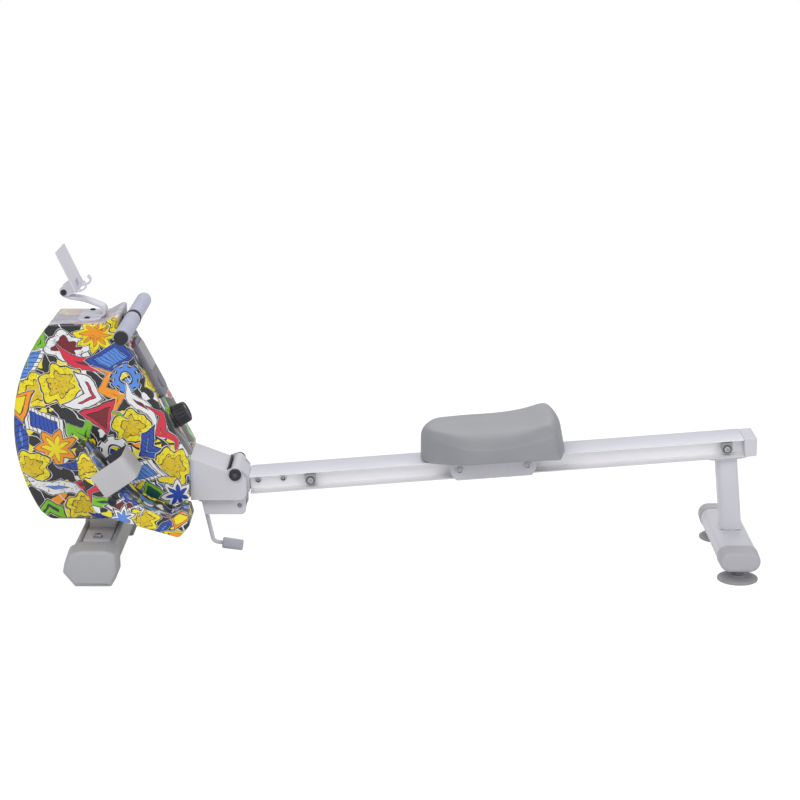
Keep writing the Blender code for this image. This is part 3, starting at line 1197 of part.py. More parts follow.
def make_rear_stand():
    low = -RAIL_TALL - GAP
    half_long = REAR_PLATE_LONG / 2
    corner = REAR_PLATE_HALF - 0.008
    plate = prism("rear_plate", rounded([(REAR_PLATE_AT - half_long, -REAR_PLATE_HALF, corner),
                                         (REAR_PLATE_AT + half_long, -REAR_PLATE_HALF, corner),
                                         (REAR_PLATE_AT + half_long, REAR_PLATE_HALF, corner),
                                         (REAR_PLATE_AT - half_long, REAR_PLATE_HALF, corner)], 5), 0, REAR_PLATE_THICK)
    plate.data.transform(Matrix.Translation((0, 0, low)) @ Matrix.Rotation(-math.pi / 2, 4, "X"))
    shift = low - max(v.co.z for v in plate.data.vertices)
    plate.data.transform(Matrix.Translation((0, 0, shift)))
    outward(plate)
    finish(on_rail(plate), "silver_paint")

    wide, deep = REAR_POST_WIDE / 2, REAR_POST_DEEP / 2
    post = prism("rear_post", rounded([(-wide, -deep, REAR_POST_CORNER), (wide, -deep, REAR_POST_CORNER),
                                       (wide, deep, REAR_POST_CORNER), (-wide, deep, REAR_POST_CORNER)], 5),
                 -0.15, 0.15)
    lean = Matrix.Rotation(math.atan2(REAR_POST_TOP_X - REAR_POST_FOOT_X, 0.16), 4, "Y")
    middle = Matrix.Translation(((REAR_POST_TOP_X + REAR_POST_FOOT_X) / 2, 0, 0.16))
    post.data.transform(middle @ lean @ Matrix.Rotation(math.pi / 2, 4, "X"))
    trim = box("post_top", (REAR_PLATE_AT - 0.2, -0.1, low - REAR_PLATE_THICK - GAP), (REAR_PLATE_AT + 0.2, 0.1, 0.2))
    on_rail(trim)
    cut(post, trim, rear_section("post_foot", GAP, 0.3), box("post_end", (0.7, -0.1, -0.2), (0.95, 0.1, REAR_Z)))
    finish(post, "silver_paint")

    beam = rear_section("rear_stabiliser", 0.0, REAR_TUBE_HALF)
    for side in (-1, 1):
        cut(beam, rod("stem_way", (REAR_X, side * PAD_Y, 0.0), (REAR_X, side * PAD_Y, 0.06), PAD_STEM_RADIUS + 0.004))
    finish(beam, "silver_paint")
    for side, name in ((-1, "rear_cap_left"), (1, "rear_cap_right")):
        cap = rear_section(name, REAR_CAP_OVER, REAR_CAP_LONG / 2)
        cap.data.transform(Matrix.Translation((0, side * (REAR_TUBE_HALF + GAP + REAR_CAP_LONG / 2), 0)))
        bm = bmesh.new()
        bm.from_mesh(cap.data)
        for vert in bm.verts:
            if abs(vert.co.y) > REAR_TUBE_HALF + REAR_CAP_LONG / 2:
                vert.co.x = REAR_X + (vert.co.x - REAR_X) * 0.96
                vert.co.z = REAR_Z + (vert.co.z - REAR_Z) * 0.94
        bm.to_mesh(cap.data)
        bm.free()
        soften(cap, 0.006, 1, 50)
        cut(cap, rod("stem_bore", (REAR_X, side * PAD_Y, 0.0), (REAR_X, side * PAD_Y, REAR_Z),
                     PAD_STEM_RADIUS + GAP, SMALL_ROUND))
        finish(cap, "grey_plastic")
    make_pads()


def rear_section(name, over, half):
    """Stretch of the rear stabiliser's flat-sided oval section, grown by over."""
    wide = REAR_TUBE_WIDE / 2 + over
    tall = REAR_TUBE_TALL / 2 + over
    outline = rounded([(REAR_X - wide, REAR_Z - tall, tall * 0.98), (REAR_X + wide, REAR_Z - tall, tall * 0.98),
                       (REAR_X + wide, REAR_Z + tall, tall * 0.98), (REAR_X - wide, REAR_Z + tall, tall * 0.98)], 5)
    return prism(name, outline, -half, half)


def make_pads():
    """Round levelling feet whose stems screw up into the end caps."""
    stem_top = REAR_Z - 0.004
    for side, name in ((-1, "foot_pad_left"), (1, "foot_pad_right")):
        profile = [(0.0, stem_top), (PAD_STEM_RADIUS, stem_top), (PAD_STEM_RADIUS, PAD_HUB_TALL),
                   (PAD_HUB_RADIUS, PAD_HUB_TALL), (PAD_HUB_RADIUS + 0.004, 0.0095),
                   (PAD_RADIUS - 0.004, PAD_EDGE + 0.001), (PAD_RADIUS, 0.003), (PAD_RADIUS - 0.002, FLOOR),
                   (0.0, FLOOR)]
        finish(turned(name, profile, (REAR_X, side * PAD_Y, 0), (0, 0, 1), 28), "grey_plastic")


def seat_height(u, v):
    """Height of the seat's top above its base: u from front (-1) to rear (1), v across."""
    front = max(0.0, -u) ** 2.2
    rear = max(0.0, u) ** 2.6
    scoop = SEAT_SCOOP * (1 - v * v) * (1 - u * u)
    return SEAT_SIDE_TALL + SEAT_FRONT_RISE * front + SEAT_REAR_RISE * rear - scoop


def make_seat():
    """Moulded foam seat: narrow nose, raised front and rear, dished middle, sides drawn in below."""
    bm = bmesh.new()
    bmesh.ops.create_cube(bm, size=2.0)
    bmesh.ops.subdivide_edges(bm, edges=bm.edges, cuts=4, use_grid_fill=True)
    half_long, half_wide = SEAT_LONG / 2, SEAT_WIDE / 2
    for vert in bm.verts:
        u, v, w = vert.co
        round_u = u * (1 - (0.27 if u < 0 else 0.17) * v * v)
        nose = 1 - 0.36 * max(0.0, -u - 0.15) ** 1.3 / 0.85 ** 1.3
        tail = 1 - 0.10 * max(0.0, u - 0.4) / 0.6
        draw_in = 1 - 0.05 * (1 - w) / 2
        lean = SEAT_TAIL_LEAN if u > 0 else SEAT_NOSE_LEAN
        x = half_long * round_u * (1 - lean * w / 2)
        y = half_wide * v * nose * tail * draw_in * math.sqrt(1 - 0.10 * u * u)
        base = SEAT_CLEAR - SEAT_SKIRT
        z = base + (seat_height(u, v) - base + SEAT_CLEAR) * (w + 1) / 2
        vert.co = (SEAT_AT + x, y, z)
    creases = bm.edges.layers.float.new("crease_edge")
    for edge in bm.edges:
        if len(edge.link_faces) == 2 and edge.calc_face_angle(0.0) > math.radians(45):
            low = all(v.co.z < SEAT_CLEAR + 0.012 for v in edge.verts)
            edge[creases] = 0.75 if low else 0.35
    pad = from_bmesh("seat_pad", bm)
    smooth = pad.modifiers.new("round", "SUBSURF")
    smooth.levels = 1
    smooth.render_levels = 1
    bake(pad)
    clear = CARRIAGE_LONG / 2 + 0.001
    side = RAIL_HALF + CARRIAGE_SIDE_CLEAR + CARRIAGE_THICK + 0.001
    cut(pad, box("carriage_way", (SEAT_AT - clear, -side, -0.05), (SEAT_AT + clear, side, SEAT_CLEAR + GAP)),
        box("rail_way", (SEAT_AT - 0.3, -side, -0.05), (SEAT_AT + 0.3, side, CARRIAGE_CLEAR)))
    finish(on_rail(pad), "seat_foam")
    make_carriage()


def make_carriage():
    """Pressed steel carriage: a top plate over the rail and a cheek down each side."""
    half = CARRIAGE_LONG / 2
    side = RAIL_HALF + CARRIAGE_SIDE_CLEAR
    top = SEAT_CLEAR
    body = box("seat_carriage", (SEAT_AT - half, -side - CARRIAGE_THICK, CARRIAGE_CLEAR),
               (SEAT_AT + half, side + CARRIAGE_THICK, top))
    low = -RAIL_TALL - CARRIAGE_BELOW
    outline = rounded([(SEAT_AT - half, top, 0.0), (SEAT_AT - half, -0.030, 0.010), (SEAT_AT - half + 0.012, low, 0.008),
                       (SEAT_AT + half - 0.012, low, 0.008), (SEAT_AT + half, -0.030, 0.010), (SEAT_AT + half, top, 0.0)], 4)
    for turn in (-1, 1):
        join(body, prism("cheek", outline, turn * side, turn * (side + CARRIAGE_THICK)))
    for at in (SEAT_AT - ROLLER_SPREAD / 2, SEAT_AT + ROLLER_SPREAD / 2):
        for turn in (-1, 1):
            inner, outer = turn * (ROLLER_INNER_Y - 0.001), turn * (side + CARRIAGE_THICK)
            join(body, cross_rod("pin", at, ROLLER_UP, inner, outer + turn * 0.001, ROLLER_AXLE_RADIUS, 12))
            join(body, cross_rod("head", at, ROLLER_UP, outer - turn * 0.001, outer + turn * 0.0045, 0.0085, 6))
    finish(on_rail(body), "silver_paint")
    for end, u in (("front", -1), ("rear", 1)):
        for hand, turn in (("left", -1), ("right", 1)):
            bore = ROLLER_AXLE_RADIUS + GAP
            high, deep = ROLLER_INNER_Y + ROLLER_WIDE, ROLLER_INNER_Y
            wide = ROLLER_RADIUS
            profile = [(bore, high), (wide - 0.002, high), (wide, high - 0.002), (wide, deep),
                       (bore, deep), (bore, high)]
            roller = turned("roller_" + end + "_" + hand, profile, (SEAT_AT + u * ROLLER_SPREAD / 2, 0, ROLLER_UP),
                            (0, turn, 0), ROUND)
            finish(on_rail(roller), "black_plastic")


def hang_on(name, pivot, names):
    """Parents pieces to an empty on their joint's axis."""
    empty = bpy.data.objects.new(name, None)
    empty.empty_display_size = 0.05
    empty.location = pivot
    parts.objects.link(empty)
    for key in names:
        piece = parts.objects[key]
        piece.data.transform(Matrix.Translation(-Vector(pivot)))
        piece.parent = empty


def hang_moving_pieces():
    hang_on("fold_axis", (PIVOT_X, 0, PIVOT_Z),
            ("rail", "rail_hinge", "rail_end_cap", "front_seat_stop", "rear_seat_stop", "rear_plate",
             "rear_post", "rear_stabiliser", "rear_cap_left", "rear_cap_right"))
    hang_on("seat_track", rail_point(SEAT_AT), ("seat_pad", "seat_carriage"))
    for end, u in (("front", -1), ("rear", 1)):
        axle = rail_point(SEAT_AT + u * ROLLER_SPREAD / 2, 0.0, ROLLER_UP)
        hang_on("axle_" + end, axle, ("roller_" + end + "_left", "roller_" + end + "_right"))
    hang_on("handle_line", (HANDLE_X, 0, HANDLE_Z),
            ("handle_bar", "grip_left", "grip_right", "handle_cap_left", "handle_cap_right", "strap_loop"))
    hang_on("reel_axis", (DRIVE_X, 0, DRIVE_Z), ("strap_reel", "drive_pulley"))
    hang_on("guide_axis", (GUIDE_X, 0, GUIDE_Z), ("guide_roller",))
    hang_on("flywheel_axis", (FLYWHEEL_X, 0, FLYWHEEL_Z), ("flywheel", "flywheel_bearing"))
    hang_on("brake_axis", (BRAKE_PIVOT[0], 0, BRAKE_PIVOT[1]), ("magnet_bracket",))
    hang_on("knob_axis", on_slope(KNOB_ALONG), ("tension_knob",))
    hang_on("button_axis", on_slope(CONSOLE_ALONG + BUTTON_ALONG), ("console_button",))
    hang_on("pedal_axis", (PEDAL_X, 0, PEDAL_Z),
            ("pedal_left", "pedal_right", "foot_strap_left", "foot_strap_right"))
    hang_on("holder_axis", (HOLDER_PIVOT_X, 0, HOLDER_PIVOT_Z), ("media_holder",))
    hang_on("lock_axis", (CRANK_BEND_X, 0, CRANK_BEND_Z), ("lock_crank", "crank_grip"))
    for side, name in ((-1, "foot_pad_left"), (1, "foot_pad_right")):
        hang_on(name + "_axis", (REAR_X, side * PAD_Y, 0), (name,))


def main():
    clear_scene()
    make_collections()
    make_housing()
    make_main_frame()
    make_front_stabiliser()
    make_drive()
    make_handle()
    make_console()
    make_knob()
    make_holder()
    make_pedals()
    make_rail_bracket()
    make_rail()
    make_rear_stand()
    make_seat()
    hang_moving_pieces()


main()
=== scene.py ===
# %% [markdown]
# # Magnetic rowing machine
# A rower sits on a seat that rolls along an aluminium rail and pulls a handle
# against a magnetic flywheel. The CAD frame gives every piece its place and its
# joints. This notebook dresses that frame: it sets the camera and light, writes
# the surface finishes as node materials, and models again the pieces whose soft
# or rounded shape shows.

# %% The frame, and a way to measure its size
import json
import math

import bmesh
import bpy
from mathutils import Matrix, Vector


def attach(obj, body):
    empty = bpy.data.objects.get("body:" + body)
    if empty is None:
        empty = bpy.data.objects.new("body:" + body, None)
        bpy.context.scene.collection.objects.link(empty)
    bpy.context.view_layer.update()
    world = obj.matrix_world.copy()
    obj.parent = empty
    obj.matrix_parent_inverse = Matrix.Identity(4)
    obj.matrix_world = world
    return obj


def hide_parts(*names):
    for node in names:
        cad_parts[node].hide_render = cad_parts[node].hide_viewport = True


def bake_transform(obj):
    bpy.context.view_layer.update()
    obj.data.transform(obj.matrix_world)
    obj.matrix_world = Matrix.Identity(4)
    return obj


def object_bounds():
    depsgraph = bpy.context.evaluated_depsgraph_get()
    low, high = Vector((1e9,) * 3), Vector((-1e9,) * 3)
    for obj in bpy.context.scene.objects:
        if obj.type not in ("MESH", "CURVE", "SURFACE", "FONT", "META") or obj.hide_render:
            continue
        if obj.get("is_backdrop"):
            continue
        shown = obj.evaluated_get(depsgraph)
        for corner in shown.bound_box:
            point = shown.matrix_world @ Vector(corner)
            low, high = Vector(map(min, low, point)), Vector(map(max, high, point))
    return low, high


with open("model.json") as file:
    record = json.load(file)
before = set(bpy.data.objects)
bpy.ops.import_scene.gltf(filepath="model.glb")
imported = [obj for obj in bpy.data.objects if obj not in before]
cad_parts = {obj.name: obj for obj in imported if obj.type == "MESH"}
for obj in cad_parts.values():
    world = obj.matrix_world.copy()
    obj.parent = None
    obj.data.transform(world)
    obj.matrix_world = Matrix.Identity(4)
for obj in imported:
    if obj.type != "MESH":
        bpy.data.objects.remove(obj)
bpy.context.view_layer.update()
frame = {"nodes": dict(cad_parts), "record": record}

# %% [markdown]
# ## Camera
# The photo was taken with a long lens from nearly square to the rail, a little
# above it. These numbers put the rail's ends, the feet and the handle's ends
# where the photo has them.

# %% Camera at the photo's view
lens = bpy.data.cameras.new("camera")
lens.lens = 94.68
lens.sensor_width = 36.0
camera = bpy.data.objects.new("camera", lens)
camera.location = (0.0484, -4.863, 1.6427)
camera.rotation_euler = (math.radians(90 - 14.388), 0.0, math.radians(0.1935))
bpy.context.scene.collection.objects.link(camera)
bpy.context.scene.camera = camera
bpy.context.scene.view_settings.view_transform = "Standard"
print("camera at", [round(c, 3) for c in camera.location], "lens", lens.lens)

# %% [markdown]
# ## A way to write materials as sums
# A node tree is easier to read as arithmetic. A `Socket` stands for one output
# in the tree, and adding, multiplying or comparing two of them makes the node
# that does it.

# %% Sockets that add and multiply
class Socket:
    """One output of a node tree, used like a number or a vector."""

    def __init__(self, tree, output):
        self.tree = tree
        self.output = output

    def node(self, kind, settings=None, pick=0, **values):
        """Makes a node: its settings first, then its sockets by name, or by i and a number."""
        made = self.tree.nodes.new("ShaderNode" + kind)
        for name, value in (settings or {}).items():
            setattr(made, name, value)
        for name, value in values.items():
            key = int(name[1:]) if name[1:].isdigit() else name.replace("_", " ")
            if isinstance(value, Socket):
                self.tree.links.new(value.output, made.inputs[key])
            else:
                made.inputs[key].default_value = value
        return Socket(self.tree, made.outputs[pick])

    def is_vector(self):
        return self.output.type in ("VECTOR", "RGBA")

    def sum_of(self, operation, *terms):
        """A Math node over these terms, or a Vector Math node if one of them is a vector."""
        wide = any(isinstance(term, Socket) and term.is_vector() for term in terms)
        if wide:
            terms = [(t, t, t) if isinstance(t, (int, float)) else t for t in terms]
        values = {"i" + str(i): term for i, term in enumerate(terms)}
        return self.node("VectorMath" if wide else "Math", {"operation": operation}, **values)

    def maths(self, operation, *others):
        return self.sum_of(operation, self, *others)

    def __add__(self, other):
        return self.maths("ADD", other)

    def __sub__(self, other):
        return self.maths("SUBTRACT", other)

    def __rsub__(self, other):
        return self.sum_of("SUBTRACT", other, self)

    def __mul__(self, other):
        return self.maths("MULTIPLY", other)

    def __truediv__(self, other):
        return self.maths("DIVIDE", other)

    def __rtruediv__(self, other):
        return self.sum_of("DIVIDE", other, self)

    def __lt__(self, other):
        return self.maths("LESS_THAN", other)

    def __gt__(self, other):
        return self.maths("GREATER_THAN", other)

    def __abs__(self):
        return self.maths("ABSOLUTE")

    __radd__ = __add__
    __rmul__ = __mul__

    def part(self, axis):
        """One of a vector's three numbers."""
        return self.node("SeparateXYZ", pick="XYZ".index(axis), Vector=self)

    def length(self):
        return self.node("VectorMath", {"operation": "LENGTH"}, pick=1, i0=self)

    def fold(self, half):
        """Runs up and down between 0 and half."""
        return self.maths("PINGPONG", half)

    def mapped(self, move=(0, 0, 0), turn=(0, 0, 0), scale=(1, 1, 1)):
        """The vector as measured from a shape's own middle, along its own axes, in its own sizes."""
        return self.node("Mapping", {"vector_type": "TEXTURE"}, Vector=self, Location=move,
                         Rotation=turn, Scale=scale)

    def ramp(self, low, high, to_low=0.0, to_high=1.0):
        """Runs from to_low to to_high while this number runs from low to high."""
        return self.node("MapRange", i0=self, i1=low, i2=high, i3=to_low, i4=to_high)

    def blend(self, low, high):
        """A colour: low where this mask is 0, high where it is 1."""
        return self.node("Mix", {"data_type": "RGBA"}, pick=2, i0=self, i6=low, i7=high)

    def noise(self, scale, detail=2.0, roughness=0.5):
        return self.node("TexNoise", Vector=self, Scale=scale, Detail=detail, Roughness=roughness)

    def bump(self, height_mm):
        """A normal from this height, which runs from 0 to 1 over height_mm."""
        return self.node("Bump", Strength=1.0, Distance=height_mm / 1000, Height=self)


print("sockets add, multiply and compare")

# %% Colours, and the start of a finish
finishes = {}


def shade(red, green, blue):
    """A colour given as it looks on a screen, as the renderer counts light."""
    light = [c / 12.92 if c <= 0.04045 else ((c + 0.055) / 1.055) ** 2.4 for c in (red, green, blue)]
    return (*light, 1.0)


def new_finish(name):
    """Starts a finish, and gives the place on the piece in metres and a way to set its shader."""
    finishes[name] = bpy.data.materials.new(name)
    finishes[name].use_nodes = True
    tree = finishes[name].node_tree
    shader = tree.nodes["Principled BSDF"]
    where = Socket(tree, tree.nodes.new("ShaderNodeTexCoord").outputs["Object"])

    def surface(**values):
        for name, value in values.items():
            target = shader.inputs[name.replace("_", " ")]
            if isinstance(value, Socket):
                tree.links.new(value.output, target)
            else:
                target.default_value = value

    return where, surface


print("mid grey counts as", round(shade(0.5, 0.5, 0.5)[0], 3), "of white")

# %% [markdown]
# ## Light and floor
# The photo is a studio cut-out on white. One broad light from above the camera's
# left gives the soft gradients on the paint, a weaker one from the right fills the
# shadows, a third from behind draws the top edges, and a pale floor throws light
# back under the rail.

# %% Floor, world and lamps
def lamp(name, place, aim, size, power):
    """A soft box at a place, turned to what it lights."""
    data = bpy.data.lights.new(name, "AREA")
    data.shape = "RECTANGLE"
    data.size, data.size_y = size
    data.energy = power
    made = bpy.data.objects.new(name, data)
    made.location = place
    made.rotation_euler = (Vector(aim) - Vector(place)).to_track_quat("-Z", "Y").to_euler()
    bpy.context.scene.collection.objects.link(made)


world = bpy.data.worlds.new("studio")
world.use_nodes = True
bpy.context.scene.world = world
sky = world.node_tree.nodes["Background"]
ray = world.node_tree.nodes.new("ShaderNodeLightPath")
to_camera = Socket(world.node_tree, ray.outputs["Is Camera Ray"])
world.node_tree.links.new((to_camera * 0.44 + 0.56).output, sky.inputs["Strength"])
sky.inputs["Color"].default_value = (1, 1, 1, 1)

bpy.ops.mesh.primitive_plane_add(size=30.0, location=(0, 0, -0.0006))
floor = bpy.context.object
floor.name = "floor"
floor_finish = bpy.data.materials.new("floor_white")
floor_finish.use_nodes = True
tree = floor_finish.node_tree
ray = Socket(tree, tree.nodes.new("ShaderNodeLightPath").outputs["Is Camera Ray"])
white = ray.node("Emission", Color=(1, 1, 1, 1), Strength=1.14)
pale = ray.node("BsdfDiffuse", Color=(0.86, 0.86, 0.86, 1))
both = ray.node("MixShader", i0=ray * 0.84, i1=pale, i2=white)
tree.links.new(both.output, tree.nodes["Material Output"].inputs["Surface"])
floor.data.materials.append(floor_finish)
floor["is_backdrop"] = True

lamp("key", (-1.6, -3.2, 3.4), (-0.1, 0, 0.3), (2.6, 2.0), 64)
lamp("fill", (2.4, -2.6, 1.8), (0.1, 0, 0.3), (2.0, 1.6), 24)
lamp("back", (0.4, 2.6, 2.6), (0, 0, 0.3), (3.0, 1.2), 42)

# %% [markdown]
# ## Paint, plastic and metal
# Most of the machine is grey, so the finishes differ by their grain: powder
# coat has a fine orange peel, moulded plastic a spark-eroded texture, the rail
# fine lines along the extrusion, and turned steel fine rings.

# %% Moulded plastics and powder coat
def grained(name, colour, deep, roughness, grain, height, coat=0.0, metallic=0.0):
    """A finish with a fine grain and a slow change of tone, both in the surface itself."""
    where, surface = new_finish(name)
    slow = where.noise(7.0, 3.0).ramp(0.3, 0.7)
    fine = where.noise(grain, 3.0, 0.6)
    tone = slow * 0.6 + fine.ramp(0.35, 0.65) * 0.4
    surface(Base_Color=tone.blend(shade(*deep), shade(*colour)), Metallic=metallic, Coat_Weight=coat,
            Roughness=fine.ramp(0.3, 0.7, roughness - 0.06, roughness + 0.08), Coat_Roughness=0.2,
            Normal=fine.bump(height))


grained("silver_paint", (.825, .825, .855), (.785, .785, .815), .36, 420, .05, .25)
grained("light_plastic", (.85, .845, .885), (.81, .805, .845), .42, 900, .03)
grained("grey_plastic", (.62, .62, .64), (.58, .58, .60), .52, 800, .05)
grained("beam_grey", (.745, .745, .76), (.70, .70, .715), .45, 420, .05)
grained("cap_plastic", (.705, .71, .725), (.665, .67, .685), .50, 500, .05)
grained("pale_plastic", (.72, .72, .745), (.68, .68, .705), .48, 800, .04)
grained("lever_grip", (.68, .685, .73), (.64, .645, .69), .46, 700, .04)
grained("bezel_plastic", (.48, .47, .52), (.44, .43, .48), .40, 900, .03)
grained("black_plastic", (.17, .17, .20), (.12, .12, .15), .48, 900, .06)
grained("cast_iron", (.30, .30, .31), (.22, .22, .23), .55, 500, .12, 0.0, .6)
grained("screen_glass", (.56, .56, .60), (.50, .50, .545), .16, 300, .01, .4)
print("finishes", sorted(finishes))

# %% Metals with a direction
RAIL_X, RAIL_Z, RAIL_TILT = -0.328, 0.2195, math.atan(0.0788)


def drawn_lines(where, turn, scale):
    """Fine lines along a piece's long direction, and a tone that follows them."""
    lines = where.mapped(turn=(0, turn, 0), scale=scale).noise(1.0, 4.0, 0.65)
    tone = lines.ramp(0.3, 0.7) * 0.5 + where.noise(5.0, 2.0).ramp(0.3, 0.7) * 0.5
    return lines, tone


def anodised_rail():
    """Clear anodised extrusion: lines along it, lighter painted sides, painted shade on top and lower
    flange.
    """
    where, surface = new_finish("anodised_rail")
    lines, tone = drawn_lines(where, -RAIL_TILT, (0.35, 0.0009, 0.0009))
    above, along = where.part("Z") - RAIL_Z, where.part("X") - RAIL_X
    height = above * math.cos(RAIL_TILT) - along * math.sin(RAIL_TILT)
    # Painted light and shade: the sides are painted lighter than the top, for how the light falls on each.
    side = tone.blend(shade(.93, .93, .945), shade(.97, .97, .98))
    # Painted shade: the lower flange is painted darker towards the rail's bottom edge.
    side = height.ramp(-0.0410, -0.0362, 1.0, 0.0).blend(side, shade(.83, .83, .845))
    # Painted shade: the top is painted darker than the sides.
    top = tone.blend(shade(.795, .80, .84), shade(.835, .84, .875))
    surface(Base_Color=(height > -0.0006).blend(side, top), Metallic=0.08, Normal=lines.bump(.012),
            Roughness=lines.ramp(0.3, 0.7, 0.30, 0.44))


def bright_steel():
    """Turned steel, with lines round it."""
    where, surface = new_finish("bright_steel")
    lines, tone = drawn_lines(where, 0.0, (0.004, 0.0012, 0.004))
    surface(Base_Color=tone.blend(shade(.62, .62, .64), shade(.78, .78, .79)), Metallic=1.0,
            Normal=lines.bump(.01), Roughness=lines.ramp(0.3, 0.7, 0.19, 0.33))


anodised_rail()
bright_steel()
print("metals ready, rail tilted by", round(math.degrees(RAIL_TILT), 2), "degrees")

# %% Foam, rubber and webbing
def foam(name, colour, deep, cell, height, roughness):
    """Closed-cell foam or skinned foam: small dimples and a slow mottling."""
    where, surface = new_finish(name)
    cells = where.node("TexVoronoi", Vector=where, Scale=cell)
    fine = where.noise(cell * 0.5, 3.0)
    slow = where.noise(9.0, 2.0).ramp(0.3, 0.7)
    relief = cells.ramp(0.0, 0.6) * 0.6 + fine * 0.4
    surface(Base_Color=(slow * 0.6 + relief * 0.4).blend(shade(*deep), shade(*colour)),
            Roughness=relief.ramp(0.0, 1.0, roughness + 0.06, roughness - 0.06), Normal=relief.bump(height))


def woven(name, colour, deep, pitch, height):
    """Webbing: raised warp ribs crossed by a finer weft."""
    where, surface = new_finish(name)
    along = where.part("X") + where.part("Z")
    warp = where.part("Y").fold(pitch / 2) / (pitch / 2)
    weft = along.fold(pitch / 3) / (pitch / 3)
    relief = warp * 0.65 + weft * 0.35
    surface(Base_Color=relief.blend(shade(*deep), shade(*colour)), Roughness=relief.ramp(0, 1, .92, .78),
            Normal=relief.bump(height))


foam("grip_foam", (.74, .75, .83), (.68, .69, .77), 1100, .09, .78)
foam("seat_foam", (.605, .61, .63), (.57, .575, .595), 1300, .05, .55)
foam("strap_rubber", (.76, .76, .775), (.73, .73, .745), 1500, .03, .50)
# strap_inside is a dark finish for painted shade: the strap's inner side and the pivot's sockets.
foam("strap_inside", (.33, .33, .36), (.28, .28, .31), 700, .12, .85)
woven("webbing", (.20, .20, .22), (.10, .10, .12), .0016, .25)
print("finishes", len(finishes))

# %% [markdown]
# ## The printed shells
# The housing and the foot plates carry a loud printed film: flat bright shapes
# with black outlines, crowded together on black. The print here is a new one,
# built from blots, bolts, stripes, waves, gears and shards. Each shape is a
# signed distance, below zero inside, so its outline, its core and the line round
# its core are the same distance compared with other numbers.

# %% Shapes for the print
INK = shade(.14, .14, .16)
PAPER = shade(.93, .93, .94)
YELLOW = shade(.95, .88, .05)
GOLD = shade(.88, .76, .06)
LIME = shade(.47, .76, .12)
PINE = shade(.09, .31, .30)
BLUE = shade(.13, .30, .72)
SKY = shade(.34, .56, .90)
RED = shade(.85, .15, .27)
WINE = shade(.48, .10, .15)
ORANGE = shade(.97, .60, .10)


def turn_of(q):
    return q.part("Y").maths("ARCTAN2", q.part("X"))


def blot(q, n):
    """A round shape with n uneven lobes."""
    angle = turn_of(q)
    lobes = (angle * float(n)).maths("SINE") * 0.09 + (angle * float(n + 3) + 1.0).maths("SINE") * 0.06
    return q.length() - (0.84 + lobes)


def star(q, n):
    spike = turn_of(q).fold(math.pi / n) * (n / math.pi)
    return q.length() - (0.56 + 0.44 * spike)


def gear(q, n):
    tooth = (turn_of(q) * float(n)).maths("SINE").ramp(-0.35, 0.35, -0.11, 0.11)
    return (q.length() - (0.86 + tooth)).maths("MAXIMUM", 0.34 - q.length())


def bolt(q, n):
    """A lightning stroke with n bends, pointed at both ends."""
    along = q.part("X")
    swing = (along + 1.0).fold(1.0 / n) * (n * 0.70) - 0.35
    return (abs(q.part("Y") - swing) - 0.36 * (1.12 - abs(along))).maths("MAXIMUM", abs(along) - 1.0)


def wave(q, n):
    """A brush stroke that swings n times."""
    along = q.part("X")
    swing = (along * (n * 1.6)).maths("SINE") * 0.30
    return (abs(q.part("Y") - swing) - 0.46 * (1.08 - abs(along))).maths("MAXIMUM", abs(along) - 1.0)


def slab(q, n):
    """A slanted bar."""
    lean = q.part("X") + q.part("Y") * 0.35
    return abs(lean).maths("MAXIMUM", abs(q.part("Y")) * 1.25) - 0.95


def shard(q, n):
    return (abs(q.part("X")) * 1.6 + q.part("Y") - 0.95).maths("MAXIMUM", -0.8 - q.part("Y"))


def arrow(q, n):
    """A thick chevron."""
    lean = q.part("X") + abs(q.part("Y")) * 0.8
    return (abs(lean - 0.25) - 0.42).maths("MAXIMUM", abs(q.part("Y")) - 0.92)


print("print shapes ready")

